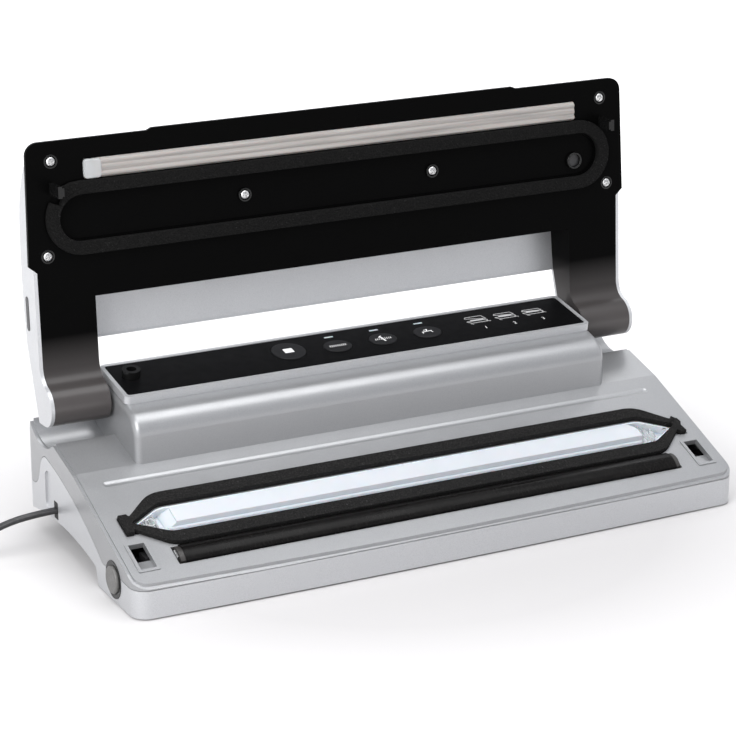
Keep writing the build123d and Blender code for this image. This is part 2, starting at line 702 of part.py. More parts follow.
def seal_bar():
    return along_x(DECK_SIDE * seal_bar_face(TAPE_THICK + WIRE[1]), SEAL_BAR_LENGTH / 2)


def heating_wire():
    strip = bar_skin(TAPE_THICK, TAPE_THICK + WIRE[1], 0)
    strip = strip & (Pos(-SEAL_U, 0) * Rectangle(WIRE[0], 30))
    return along_x(DECK_SIDE * strip, SEAL_BAR_LENGTH / 2 - 4)


def ptfe_tape():
    strip = bar_skin(0, TAPE_THICK, -2.5)
    return along_x(DECK_SIDE * strip, SEAL_BAR_LENGTH / 2 - 3)


def bar_terminals():
    end = SEAL_BAR_LENGTH / 2
    return [block(DECK, s * (end + 0.5), -SEAL_U, -4.5, 1.0, 6.0, 6.0) for s in (-1, 1)]


# ---- base fittings -------------------------------------------------------------------------
def button_ring(side):
    end = BASE_LENGTH / 2
    body = button_axis(side, end - RING_DEPTH, end + 0.3, BUTTON_RING_R)
    return body - button_axis(side, end - RING_DEPTH - 1, end + 1, BUTTON_R + BUTTON_RUN)


def release_button(side):
    end = BASE_LENGTH / 2
    face = end + BUTTON_PROUD
    body = button_axis(side, end - 8, face, BUTTON_R)
    outer = body.edges().filter_by(GeomType.CIRCLE).sort_by(Axis.X)
    body = fillet([outer[0] if side < 0 else outer[-1]], 1.2)
    return body + button_axis(side, CATCH_X + CATCH_THICK / 2, end - 8, STEM_R)


def latch_catch(side):
    """Upright plate on the button's stem; its window edge holds the hook."""
    catch_x = side * CATCH_X
    plate = Pos(catch_x, BUTTON_Y - 3.5, 9.5) * Box(CATCH_THICK, 10.0, 17.3, align=UP)
    window = Pos(catch_x, BUTTON_Y - 4.5, 20.5) * Box(9.0, 5.0, 3.2, align=UP)
    return plate - window


def release_spring(side):
    end = BASE_LENGTH / 2 - 8
    coil = button_axis(side, SPRING_FOOT_X, end, STEM_R + 2.2)
    return coil - button_axis(side, RIB_X - 6, end + 1, STEM_R + 1.2)


def housing_screws():
    made = []
    for x, y, split in POSTS:
        for side in (-1, 1):
            head = head_z(y)
            screw = Pos(side * x, y, head - SCREW_HEAD) * Cylinder(SCREW_HEAD_R, SCREW_HEAD, align=UP)
            shank = Cylinder(SCREW_R, split + SCREW_REACH - head, align=UP)
            made.append(screw + Pos(side * x, y, head) * shank)
    return made


def shaft_cyl(x0, x1, r, dy=0.0):
    return cyl_x(x0, x1, PUMP_Y + dy, SHAFT_Z, r)


def vacuum_pump():
    body = Pos(PUMP_X, PUMP_Y, PLATFORM_Z) * Box(*PUMP_SIZE, align=UP)
    head = Pos(PUMP_X, PUMP_Y, PLATFORM_Z + PUMP_SIZE[2]) * Cylinder(12.0, 6.0, align=UP)
    body += head
    body -= shaft_cyl(PUMP_X - 7, PUMP_X + 7, ECCENTRIC_R + ECCENTRIC_OFFSET + ECCENTRIC_ROOM)
    return body - shaft_cyl(MOTOR_END_X - 1, PUMP_X, SHAFT_R + SHAFT_RUN)


def pump_motor():
    body = shaft_cyl(MOTOR_END_X - MOTOR_LENGTH, MOTOR_END_X, MOTOR_R)
    feet_low = Pos(MOTOR_END_X - MOTOR_LENGTH / 2, PUMP_Y, PLATFORM_Z) * Box(30, 26, 14, align=UP)
    body += feet_low
    return body - shaft_cyl(MOTOR_END_X - MOTOR_LENGTH + 4, MOTOR_END_X + 1, SHAFT_R + SHAFT_RUN)


def motor_shaft():
    return shaft_cyl(MOTOR_END_X - MOTOR_LENGTH + 5, PUMP_X + 4, SHAFT_R)


def pump_eccentric():
    body = shaft_cyl(PUMP_X - 4, PUMP_X + 4, ECCENTRIC_R, ECCENTRIC_OFFSET)
    return body - shaft_cyl(PUMP_X - 9, PUMP_X + 9, SHAFT_R)


def transformer():
    core = Pos(TRANSFORMER_X, PUMP_Y, PLATFORM_Z) * Box(*CORE_SIZE, align=UP)
    rise = (CORE_SIZE[2] - WINDING_SIZE[2]) / 2
    return core + Pos(TRANSFORMER_X, PUMP_Y, PLATFORM_Z + rise) * Box(*WINDING_SIZE, align=UP)


def vacuum_hose():
    """Straight hose from the pump's face to the back wall of the chamber tub."""
    start = PUMP_Y - PUMP_SIZE[1] / 2
    plane = Plane(origin=(PUMP_X + 2, start, HOSE_Z), x_dir=(1, 0, 0), z_dir=(0, -1, 0))
    outer = extrude(plane * Circle(HOSE_R), start - HOSE_END_Y)
    return outer - extrude(plane * Circle(HOSE_R - HOSE_WALL), start - HOSE_END_Y - 4.5)


def hinge_pins():
    half = HUMP_LENGTH / 2
    return both_sides(lambda s: hinge_axis(s, half - PIN_HOLD, ARM_INNER_X + BUSH_LENGTH, HINGE_PIN_R))


# ---- lid -----------------------------------------------------------------------------------
def back_edges(inset, end_w):
    """Outer back of the lid from heel to top edge, moved in by a wall."""
    low = (BACK_LOW[0], BACK_LOW[1] + inset)
    high = (BACK_HIGH[0], BACK_HIGH[1] + inset)
    heel = (HEEL_U + 2.6, HEEL_W - 3.6 + inset)
    return [
        Line(heel, low),
        ThreePointArc(low, (BACK_MID[0], BACK_MID[1] + inset), high),
        ThreePointArc(high, (BACK_TURN[0] - inset / 2, BACK_TURN[1] + inset), (BACK_TOP - inset, end_w)),
    ], heel


def front_edges():
    """Front of an arm from its flat face over the throat and round the nose to the heel."""
    throat_u = NOSE_U + sqrt((NOSE_R + THROAT_R) ** 2 - (THROAT_R - NOSE_W) ** 2)
    share = NOSE_R / (NOSE_R + THROAT_R)
    touch = (NOSE_U + share * (throat_u - NOSE_U), NOSE_W + share * (THROAT_R - NOSE_W))
    mid = (throat_u - THROAT_R * sin(radians(36)), THROAT_R - THROAT_R * cos(radians(36)))
    return [
        ThreePointArc((throat_u, 0), mid, touch),
        ThreePointArc(touch, (NOSE_U, NOSE_W + NOSE_R), (HEEL_U, NOSE_W)),
        Line((HEEL_U, NOSE_W), (HEEL_U, HEEL_W)),
    ], (throat_u, 0)


def arm_face():
    """Full side section of an arm, up into the lid."""
    front, throat = front_edges()
    back, heel = back_edges(0, -PLATE_THICK)
    top = (BACK_HIGH[0], 0)
    return make_face([
        *front,
        Line((HEEL_U, HEEL_W), heel),
        *back[:2],
        Polyline((BACK_HIGH[0], BACK_HIGH[1]), top, throat),
    ])


def shell_face():
    """Side section of the lid's shell above its lower edge, back to the inner plate."""
    back, _ = back_edges(0, -PLATE_THICK)
    region = make_face([*back, Polyline((BACK_TOP, -PLATE_THICK), (0, -PLATE_THICK), back[0] @ 0)])
    return region & (Pos(SHELL_EDGE_U + 100, 0) * Rectangle(200, 200))


def inner_region():
    """Everything in front of the inside of the shell's back wall."""
    back, heel = back_edges(LID_WALL, -PLATE_THICK)
    far = 60
    top = (BACK_TOP - LID_WALL, -PLATE_THICK)
    return make_face([*back, Polyline(top, (top[0], far), (-far, far), (-far, heel[1]), heel)])


def between_x(face, x0, x1):
    """Extrusion of a lid side section from x0 to x1."""
    return extrude(LID_SIDE.offset(min(x0, x1)) * face, abs(x1 - x0))


def lid_shell():
    half = LID_LENGTH / 2
    body = between_x(shell_face(), -half, half)
    for side in (-1, 1):
        body += between_x(arm_face(), side * ARM_INNER_X, side * half)
    edges = [e for e in body.edges() if abs(abs(e.center().X) - half) < 0.01 and behind_plate(e)]
    body = fillet(edges, LID_SIDE_R)
    body -= between_x(inner_region(), -COVER_X, COVER_X)
    within = between_x(inner_region() & shell_face(), -half, half)
    for x, u in LID_SCREWS:
        post = disc(LID, x, u, -40, 3.5, 40 - PLATE_THICK) & within
        body += post - disc(LID, x, u, -PLATE_THICK - 8, 1.2, 12)
    for side in (-1, 1):
        body -= insert_solid(side, 0.1)
    return body - extrude(LID.offset(-PLATE_THICK) * plate_outline(), 2 * PLATE_THICK)


def behind_plate(edge):
    """True for the long edges along the back of the lid's side, clear of its front."""
    depth = LID_SIDE.to_local_coords(edge.center()).Y
    return depth < -9 and edge.length > 20


def insert_solid(side, grow):
    face = Pos(INSERT_U, INSERT_W) * SlotOverall(INSERT_SIZE[0] + 2 * grow, INSERT_SIZE[1] + 2 * grow)
    half = LID_LENGTH / 2
    return between_x(face, side * (half - INSERT_DEPTH), side * (half + 0.2))


def plate_outline():
    """Outline of the black inner plate, with its rounded corners and raised middle lip."""
    step = 4.2
    points = [
        (ARM_INNER_X, WINDOW_U), (COVER_X - 0.1, WINDOW_U), (COVER_X - 0.1, PLATE_STEP_U - step),
        (PLATE_LOW_HALF, PLATE_STEP_U), (PLATE_TOP_HALF, PLATE_TOP_U),
        (LIP_HALF, PLATE_TOP_U), (LIP_HALF - 3, PLATE_TOP_U + LIP_RISE),
    ]
    mirrored = [(-x, u) for x, u in reversed(points)]
    face = make_face(Polyline(*points, *mirrored, close=True))
    corners = [v for v in face.vertices() if v.Y > PLATE_TOP_U - 0.1 and abs(v.X) > LIP_HALF + 5]
    return fillet(corners, 8.0)


def stadium(u, length, width):
    return Pos(0, u) * SlotOverall(length, width)


def lid_plate():
    body = extrude(LID.offset(-PLATE_THICK) * plate_outline(), PLATE_THICK)
    skin = arm_face() & inner_region()
    hollow = offset(arm_face(), -PLATE_THICK)
    deep = inner_region() & hollow
    cover = (skin - hollow) & (Pos(WINDOW_U / 2 - 20, 30) * Rectangle(WINDOW_U + 40, 70 - 2 * HEEL_W))
    cheek = skin & (Pos(WINDOW_U / 2 - 20, 0) * Rectangle(WINDOW_U + 40, 200))
    for side in (-1, 1):
        body += between_x(cover, side * ARM_INNER_X, side * (COVER_X - 0.1))
        body += between_x(cheek, side * ARM_INNER_X, side * (ARM_INNER_X + LID_WALL))
        body += hinge_axis(side, ARM_INNER_X, ARM_INNER_X + BUSH_LENGTH, BUSH_R + 1.7)
    lintel = (inner_region() & shell_face()) & (Pos(WINDOW_U + LID_WALL / 2, 0) * Rectangle(LID_WALL, 200))
    body += between_x(lintel, -ARM_INNER_X - 1, ARM_INNER_X + 1)
    inner = LID_GASKET_LENGTH - 2 * LID_GASKET_BAND
    width = 2 * LID_GASKET_HALF - 2 * LID_GASKET_BAND
    cuts = [
        extrude(LID.offset(-1.2) * stadium(LID_GASKET_U, inner - 2, width - 2), 5),
        extrude(LID.offset(-1.0) * gasket_ring(0.2), 5),
        rounded(LID, 0, STRIP_U, -1.2, STRIP_LENGTH + 0.4, STRIP_WIDTH + 0.4, 5, 1.2),
    ]
    cuts += [disc(LID, x, u, -9, 1.4, 12) for x, u in LID_SCREWS]
    cuts += both_sides(lambda s: hinge_axis(s, ARM_INNER_X - 2, ARM_INNER_X + BUSH_LENGTH + 1, BUSH_R))
    for cut in cuts:
        body -= cut
    return body


def gasket_ring(grow):
    outer = stadium(LID_GASKET_U, LID_GASKET_LENGTH + 2 * grow, 2 * LID_GASKET_HALF + 2 * grow)
    inner = 2 * LID_GASKET_BAND + 2 * grow
    return outer - stadium(LID_GASKET_U, LID_GASKET_LENGTH - inner, 2 * LID_GASKET_HALF - inner)


def lid_gasket():
    return extrude(LID.offset(-1.0) * gasket_ring(0), 1.0 + LID_GASKET_PROUD)


def pressure_strip():
    return rounded(LID, 0, STRIP_U, -1.2, STRIP_LENGTH, STRIP_WIDTH, 1.2 + STRIP_PROUD, 1.0)


def latch_hook(side):
    """Hook that drops into the latch pocket; its barb points to the middle of the lid."""
    shank = block(LID, side * LATCH_X, HOOK_U, 0, 2.5, 7.0, HOOK_LENGTH)
    barb = block(LID, side * (LATCH_X - 1.9), HOOK_U, HOOK_LENGTH - 2.6, 1.3, 5.0, 2.6)
    return shank + barb


def lid_screws():
    return [disc(LID, x, u, 0, 2.6, 0.9) + disc(LID, x, u, -9, 1.1, 9) for x, u in LID_SCREWS]


def hinge_bushes():
    made = []
    for side in (-1, 1):
        end = ARM_INNER_X + BUSH_LENGTH
        bush = hinge_axis(side, ARM_INNER_X - 0.4, end, BUSH_R)
        made.append(bush - hinge_axis(side, ARM_INNER_X - 2, end + 2, HINGE_PIN_R + HINGE_RUN))
    return made


# ---- cord ----------------------------------------------------------------------------------
def cord_gland():
    face = Plane(origin=CORD_EXIT, x_dir=(0, 1, 0), z_dir=(1, 0, 0))
    body = extrude(face * RectangleRounded(CORD_SLOT[0] - 0.2, CORD_SLOT[1] - 0.2, 0.9), GLAND_DEPTH)
    flange = face.offset(HOUSING_WALL + 0.1) * RectangleRounded(CORD_SLOT[0] + 4.4, CORD_SLOT[1] + 4.0, 1.5)
    return body + extrude(flange, GLAND_DEPTH - HOUSING_WALL - 0.1)


def corner_radii(points):
    """Largest tangent arcs that leave a tenth of each run straight."""
    radii = []
    for a, b, c in zip(points, points[1:], points[2:]):
        before = Vector(*b) - Vector(*a)
        after = Vector(*c) - Vector(*b)
        turn = before.get_angle(after)
        radii.append(0.45 * min(before.length, after.length) / tan(radians(turn / 2)))
    return radii


def power_cord():
    radii = corner_radii(CORD_ROUTE)
    print("cord radii", [round(r) for r in radii])
    path = FilletPolyline(*CORD_ROUTE, radius=radii)
    tube = sweep(Plane(origin=CORD_EXIT, z_dir=path % 0) * Circle(CORD_D / 2), path=path)
    share = tube.volume / (path.length * pi * CORD_D**2 / 4)
    print("cord length", round(path.length, 1), "volume share", round(share, 4))
    return tube


def cord_coil():
    """Outer shape of the wound part of the cord, lying on the table."""
    wide = COIL_TURNS_WIDE * CORD_D
    high = COIL_TURNS_HIGH * CORD_THICK
    ring = Cylinder(COIL_R + wide / 2, high, align=UP) - Cylinder(COIL_R - wide / 2, high, align=UP)
    return Pos(*COIL_AT, 0) * ring


def cord_tail():
    """Short straight stretch from the coil into the back of the plug."""
    end = (PLUG_AT[0], PLUG_AT[1] + PLUG_SIZE[1] / 2, PLUG_AT[2])
    run = Vector(*end) - Vector(*TAIL_START)
    return extrude(Plane(origin=TAIL_START, z_dir=run) * Circle(CORD_D / 2), run.length)


def plug_body():
    body = Pos(*PLUG_AT) * Box(*PLUG_SIZE)
    return fillet(body.edges().filter_by(Axis.Y), 4.0)


def plug_pins():
    front = PLUG_AT[1] - PLUG_SIZE[1] / 2
    plane = Plane(origin=(PLUG_AT[0], front, PLUG_AT[2]), x_dir=(1, 0, 0), z_dir=(0, -1, 0))
    return [extrude(plane * Pos(s * PIN_HALF_PITCH, 0) * Circle(PIN_R), PIN_LENGTH) for s in (-1, 1)]


# ---- export --------------------------------------------------------------------------------
NODES = {
    "lower_housing": lower_housing,
    "upper_housing": upper_housing,
    "panel_rim": panel_rim,
    "control_panel": control_panel,
    "key_lights": key_lights,
    "stop_key": lambda: key(0),
    "seal_key": lambda: key(1),
    "vacuum_seal_key": lambda: key(2),
    "canister_key": lambda: key(3),
    "control_board": control_board,
    "hose_port": hose_port,
    "lower_gasket": lower_gasket,
    "chamber_tray": chamber_tray,
    "seal_bar": seal_bar,
    "heating_wire": heating_wire,
    "ptfe_tape": ptfe_tape,
    "bar_terminals": bar_terminals,
    "button_ring_left": lambda: button_ring(-1),
    "button_ring_right": lambda: button_ring(1),
    "release_button_left": lambda: release_button(-1),
    "release_button_right": lambda: release_button(1),
    "latch_catch_left": lambda: latch_catch(-1),
    "latch_catch_right": lambda: latch_catch(1),
    "release_spring_left": lambda: release_spring(-1),
    "release_spring_right": lambda: release_spring(1),
    "rubber_feet": feet,
    "housing_screws": housing_screws,
    "vacuum_pump": vacuum_pump,
    "pump_motor": pump_motor,
    "motor_shaft": motor_shaft,
    "pump_eccentric": pump_eccentric,
    "transformer": transformer,
    "vacuum_hose": vacuum_hose,
    "hinge_pins": hinge_pins,
    "hinge_bushes": hinge_bushes,
    "lid_shell": lid_shell,
    "lid_plate": lid_plate,
    "lid_gasket": lid_gasket,
    "pressure_strip": pressure_strip,
    "latch_hook_left": lambda: latch_hook(-1),
    "latch_hook_right": lambda: latch_hook(1),
    "lid_screws": lid_screws,
    "arm_inserts": lambda: both_sides(lambda s: insert_solid(s, 0)),
    "cord_gland": cord_gland,
    "power_cord": power_cord,
    "cord_coil": cord_coil,
    "cord_tail": cord_tail,
    "plug_body": plug_body,
    "plug_pins": plug_pins,
}


def as_one(made):
    """One shape to export: a single solid, or a group of separate ones."""
    if isinstance(made, list):
        solids = [solid for piece in made for solid in piece.solids()]
        return Compound(children=solids)
    return made


os.makedirs("parts", exist_ok=True)
for name, make in NODES.items():
    export_step(as_one(make()), f"parts/{name}.step")
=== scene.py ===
"""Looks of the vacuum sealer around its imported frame, in metres.

Deck pieces are placed on DECK and lid pieces on LID: planes through X at the deck's and the open
lid's angle, measured from the hinge axis. Their local axes are X, along the plane and out of it.
"""
import bmesh
import bpy
import json
import math
from mathutils import Matrix, Vector


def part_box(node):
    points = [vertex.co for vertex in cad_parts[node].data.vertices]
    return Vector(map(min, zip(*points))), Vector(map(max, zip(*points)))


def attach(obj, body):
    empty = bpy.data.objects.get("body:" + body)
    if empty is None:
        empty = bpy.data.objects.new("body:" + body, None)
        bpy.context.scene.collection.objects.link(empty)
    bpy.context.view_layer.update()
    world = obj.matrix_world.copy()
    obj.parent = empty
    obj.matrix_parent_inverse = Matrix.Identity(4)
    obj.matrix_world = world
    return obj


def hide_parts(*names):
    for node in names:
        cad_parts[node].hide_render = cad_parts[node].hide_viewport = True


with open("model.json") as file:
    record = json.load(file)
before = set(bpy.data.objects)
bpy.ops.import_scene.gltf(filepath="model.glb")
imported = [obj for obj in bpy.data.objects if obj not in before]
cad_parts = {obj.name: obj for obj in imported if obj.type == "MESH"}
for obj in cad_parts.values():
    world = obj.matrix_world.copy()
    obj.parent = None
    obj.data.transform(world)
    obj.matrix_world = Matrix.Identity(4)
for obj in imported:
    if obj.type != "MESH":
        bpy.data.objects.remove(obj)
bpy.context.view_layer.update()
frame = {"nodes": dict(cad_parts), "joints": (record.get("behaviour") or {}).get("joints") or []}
NODES = frame["nodes"]
scene = bpy.context.scene
MM = 0.001

# ---- placing -------------------------------------------------------------------------------
JOINTS = {joint["name"]: joint for joint in frame["joints"]}
HINGE = Vector(JOINTS["lid_hinge"]["pos_m"])
DECK_ANGLE = math.radians(21.0)
DECK_DROP = 9.2 * MM
LID_ANGLE = math.radians(86.6)
PLATE_DROP = 2.8 * MM
PANEL_ANGLE = math.radians(9.6)


def plane_at(point, angle, lift=0.0):
    """Matrix of a plane through X at this angle: local x is X, y runs along and z stands out."""
    along = Vector((0, math.cos(angle), math.sin(angle)))
    out = Vector((0, -math.sin(angle), math.cos(angle)))
    turn = Matrix((Vector((1, 0, 0)), along, out)).transposed().to_4x4()
    return Matrix.Translation(Vector((0, point.y, point.z)) + out * lift) @ turn


DECK = plane_at(HINGE, DECK_ANGLE, -DECK_DROP)
LID = plane_at(HINGE, LID_ANGLE, PLATE_DROP)


def panel_plane():
    """Plane of the control panel's face, through the middle of its box."""
    low, high = (Vector(corner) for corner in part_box("control_panel"))
    half = 0.5 * (high.y - low.y - 2.0 * MM * math.sin(PANEL_ANGLE))
    return plane_at(Vector((0, high.y - half, high.z - half * math.tan(PANEL_ANGLE))), PANEL_ANGLE)


PANEL = panel_plane()

# ---- camera and light ----------------------------------------------------------------------
CAMERA_AZIMUTH = math.radians(-27.06)
CAMERA_HEIGHT = math.radians(18.50)
CAMERA_DISTANCE = 1.594
CAMERA_TARGET = Vector((0, 0.0252, 0.0867))
CAMERA_LENS = 127.17
SENSOR = 36.0


def from_target(azimuth, height, distance):
    """Point round the camera's target, azimuth 0 in front and negative to the left, in radians."""
    flat = math.cos(height)
    way = Vector((math.sin(azimuth) * flat, -math.cos(azimuth) * flat, math.sin(height)))
    return CAMERA_TARGET + way * distance


def aim(thing, target):
    way = thing.location - target
    thing.rotation_euler = way.to_track_quat("Z", "Y").to_euler()


def make_camera():
    data = bpy.data.cameras.new("camera")
    data.lens = CAMERA_LENS
    data.sensor_width = SENSOR
    data.clip_start = 0.05
    data.clip_end = 50
    camera = bpy.data.objects.new("camera", data)
    scene.collection.objects.link(camera)
    camera.location = from_target(CAMERA_AZIMUTH, CAMERA_HEIGHT, CAMERA_DISTANCE)
    aim(camera, CAMERA_TARGET)
    scene.camera = camera


def area_light(name, azimuth, height, distance, size, power):
    """White rectangular light that looks at the camera's target, its angles in degrees."""
    data = bpy.data.lights.new(name, "AREA")
    data.shape = "RECTANGLE"
    data.size, data.size_y = size
    data.energy = power
    light = bpy.data.objects.new(name, data)
    scene.collection.objects.link(light)
    light.location = from_target(math.radians(azimuth), math.radians(height), distance)
    aim(light, CAMERA_TARGET)


def make_lights():
    area_light("top_softbox", 10, 78, 1.5, (1.6, 1.1), 20)
    area_light("front_left_softbox", -58, 26, 1.1, (0.7, 0.7), 9)
    area_light("right_fill", 62, 28, 1.8, (0.9, 1.2), 2)
    area_light("back_strip", 160, 48, 1.6, (1.4, 0.4), 7)
    world = bpy.data.worlds.new("soft_room")
    world.use_nodes = True
    world.node_tree.nodes["Background"].inputs["Color"].default_value = (0.93, 0.95, 1.0, 1)
    world.node_tree.nodes["Background"].inputs["Strength"].default_value = 0.66
    scene.world = world
    scene.view_settings.view_transform = "Standard"


# ---- materials -----------------------------------------------------------------------------
class Surface:
    """A principled shader with helpers that add procedural detail in object coordinates."""

    def __init__(self, name, colour, roughness, metallic=0.0, **sockets):
        self.material = bpy.data.materials.new(name)
        self.material.use_nodes = True
        self.nodes = self.material.node_tree.nodes
        self.links = self.material.node_tree.links
        self.shader = self.nodes["Principled BSDF"]
        self.colour = (*colour, 1.0)
        self.set("Base Color", self.colour)
        self.set("Roughness", roughness)
        self.set("Metallic", metallic)
        for socket, value in sockets.items():
            self.set(socket.replace("_", " "), value)
        self.roughness = roughness
        self.place = self.nodes.new("ShaderNodeTexCoord").outputs["Object"]
        self.bump_out = None

    def set(self, socket, value):
        self.shader.inputs[socket].default_value = value

    def noise(self, scale, detail=2.0, stretch=(1, 1, 1), rough=0.5):
        """Noise with features 1/scale metres apart, optionally stretched along an axis."""
        mapping = self.nodes.new("ShaderNodeMapping")
        mapping.inputs["Scale"].default_value = stretch
        self.links.new(self.place, mapping.inputs["Vector"])
        node = self.nodes.new("ShaderNodeTexNoise")
        node.inputs["Scale"].default_value = scale
        node.inputs["Detail"].default_value = detail
        node.inputs["Roughness"].default_value = rough
        self.links.new(mapping.outputs["Vector"], node.inputs["Vector"])
        return node.outputs["Fac"]

    def cells(self, scale):
        node = self.nodes.new("ShaderNodeTexVoronoi")
        node.inputs["Scale"].default_value = scale
        self.links.new(self.place, node.inputs["Vector"])
        return node.outputs["Distance"]

    def height(self, start, end):
        """0 where the object's z is at the start height, 1 at the end height."""
        split = self.nodes.new("ShaderNodeSeparateXYZ")
        self.links.new(self.place, split.inputs["Vector"])
        return self.spread(split.outputs["Z"], start, end, 0, 1)

    def spread(self, value, low, high, out_low, out_high):
        """Maps low..high of a value to out_low..out_high, clamped."""
        node = self.nodes.new("ShaderNodeMapRange")
        names = ("From Min", "From Max", "To Min", "To Max")
        for name, number in zip(names, (low, high, out_low, out_high)):
            node.inputs[name].default_value = number
        self.links.new(value, node.inputs["Value"])
        return node.outputs["Result"]

    def tint(self, value, low, high, colour):
        """Base colour runs from its own to another colour as a value rises from low to high."""
        node = self.nodes.new("ShaderNodeMix")
        node.data_type = "RGBA"
        before = self.shader.inputs["Base Color"]
        if before.is_linked:
            self.links.new(before.links[0].from_socket, node.inputs["A"])
        else:
            node.inputs["A"].default_value = self.colour
        node.inputs["B"].default_value = (*colour, 1.0)
        self.links.new(self.spread(value, low, high, 0, 1), node.inputs["Factor"])
        self.links.new(node.outputs["Result"], before)

    def vary_roughness(self, value, spread):
        low = max(0.02, self.roughness - spread)
        varied = self.spread(value, 0.3, 0.7, low, self.roughness + spread)
        self.links.new(varied, self.shader.inputs["Roughness"])

    def bump(self, value, depth):
        """Adds relief of this depth, in metres, on top of any other."""
        node = self.nodes.new("ShaderNodeBump")
        node.inputs["Strength"].default_value = 1.0
        node.inputs["Distance"].default_value = depth
        self.links.new(value, node.inputs["Height"])
        if self.bump_out is not None:
            self.links.new(self.bump_out, node.inputs["Normal"])
        self.bump_out = node.outputs["Normal"]
        self.links.new(self.bump_out, self.shader.inputs["Normal"])


def silver(name, shade, roughness):
    """Silver paint over moulded plastic: fine flake, soft sheen under a thin lacquer."""
    colour = (shade, shade * 1.012, shade * 1.035)
    made = Surface(name, colour, roughness, 0.55, Coat_Weight=0.25, Coat_Roughness=0.3)
    flake = made.noise(2600, 1.0)
    made.tint(flake, 0.42, 0.72, (shade * 0.86, shade * 0.87, shade * 0.9))
    made.vary_roughness(made.noise(90, 3.0), 0.035)
    made.bump(made.noise(1500, 2.0), 0.00001)
    return made.material


def gloss_black(name, shade, roughness):
    """Polished black plastic with faint handling marks in its gloss."""
    made = Surface(name, (shade, shade, shade), roughness, 0.0, Specular_IOR_Level=0.3)
    made.vary_roughness(made.noise(60, 4.0, rough=0.65), roughness * 0.45)
    made.bump(made.noise(300, 1.0), 0.000004)
    return made.material


def plate_black(name):
    """Deep black inner plate of the lid; lower down its arms, towards the hinge, a painted warm sheen in the
    base colour stands in for reflected light, under a coat of gloss.
    """
    made = Surface(name, (0.0015, 0.0015, 0.0015), 0.32, 0.0, Specular_IOR_Level=0.02, Coat_Roughness=0.3)
    # painted sheen: below 0.125 m the base colour turns warm grey, a painted reflection; the same mask
    # raises the coat of gloss
    low = made.height(0.125, 0.086)
    made.tint(low, 0.0, 1.0, (0.058, 0.052, 0.051))
    made.links.new(made.spread(low, 0.0, 1.0, 0.0, 0.75), made.shader.inputs["Coat Weight"])
    made.vary_roughness(made.noise(60, 4.0, rough=0.65), 0.06)
    made.bump(made.noise(300, 1.0), 0.000004)
    return made.material


def satin_plastic(name, colour, roughness, grain=2200, shine=0.5):
    """Moulded plastic with a fine spark-eroded texture."""
    made = Surface(name, colour, roughness, 0.0, Specular_IOR_Level=shine)
    lighter = tuple(part * 1.4 for part in colour)
    made.tint(made.noise(grain, 2.0), 0.45, 0.75, lighter)
    made.vary_roughness(made.noise(150, 3.0), 0.05)
    made.bump(made.noise(grain, 3.0), 0.00002)
    return made.material


def sponge(name, shade, specks):
    """Open sponge rubber: dark cells and a few pale specks."""
    made = Surface(name, (shade, shade, shade * 1.02), 0.92, 0.0, Specular_IOR_Level=0.12)
    cells = made.cells(1100)
    made.tint(cells, 0.25, 0.75, (shade * 2.6, shade * 2.5, shade * 2.45))
    made.tint(made.noise(900, 3.0, rough=0.7), 0.64, 0.72, (specks, specks, specks))
    made.bump(cells, 0.00022)
    made.bump(made.noise(420, 3.0), 0.00018)
    return made.material


def frosted(name, colour, roughness, transmission):
    """Milky translucent plastic."""
    made = Surface(
        name, colour, roughness, 0.0, Transmission_Weight=transmission, IOR=1.49,
        Subsurface_Weight=0.25, Subsurface_Scale=0.004,
    )
    made.tint(made.noise(35, 2.0), 0.35, 0.75, tuple(part * 0.95 for part in colour))
    made.vary_roughness(made.noise(240, 2.0), 0.05)
    made.bump(made.noise(800, 2.0), 0.00001)
    return made.material


def clear(name):
    made = Surface(name, (0.93, 0.95, 0.96), 0.08, 0.0, Transmission_Weight=0.72, IOR=1.47)
    made.vary_roughness(made.noise(200, 3.0), 0.05)
    made.bump(made.noise(500, 2.0), 0.00003)
    return made.material


def metal(name, shade, roughness, warm=1.0, brushed=(1, 1, 1)):
    """Metal with a drawn or turned grain along the axis with the smallest stretch."""
    made = Surface(name, (shade * warm, shade, shade / warm), roughness, 1.0)
    grain = made.noise(900, 3.0, brushed)
    made.vary_roughness(grain, 0.08)
    made.tint(grain, 0.4, 0.8, (shade * 0.7 * warm, shade * 0.7, shade * 0.7 / warm))
    made.bump(grain, 0.00001)
    return made.material


def silicone(name, colour):
    """Pale silicone, streaked along its length."""
    made = Surface(name, colour, 0.42, 0.0, Subsurface_Weight=0.15, Subsurface_Scale=0.002)
    streak = made.noise(420, 3.0, (0.03, 1, 1))
    made.tint(streak, 0.45, 0.7, tuple(part * 0.72 for part in colour))
    made.tint(made.noise(70, 4.0, (0.25, 1, 1)), 0.58, 0.75, tuple(part * 0.85 for part in colour))
    made.vary_roughness(made.noise(160, 2.0), 0.08)
    made.bump(streak, 0.00004)
    return made.material


def cord_sheath(name):
    made = Surface(name, (0.018, 0.018, 0.019), 0.38)
    made.tint(made.noise(700, 2.0), 0.5, 0.8, (0.04, 0.04, 0.042))
    made.vary_roughness(made.noise(120, 3.0), 0.07)
    made.bump(made.noise(800, 2.0), 0.00002)
    return made.material


def print_ink(name, shade):
    made = Surface(name, (shade, shade, shade), 0.5)
    made.tint(made.noise(1500, 2.0), 0.5, 0.8, (shade * 0.85, shade * 0.85, shade * 0.86))
    made.bump(made.noise(2500, 1.0), 0.000005)
    return made.material


def tape_cloth(name):
    """PTFE-coated glass cloth: nearly black, with a fine square weave under its gloss."""
    made = Surface(name, (0.003, 0.0027, 0.0026), 0.28, 0.0, Specular_IOR_Level=0.1)
    weave = made.noise(1600, 1.0, (1, 0.25, 0.25))
    made.tint(weave, 0.5, 0.8, (0.009, 0.008, 0.0075))
    made.vary_roughness(made.noise(110, 3.0, (0.3, 1, 1)), 0.07)
    made.bump(weave, 0.00002)
    return made.material


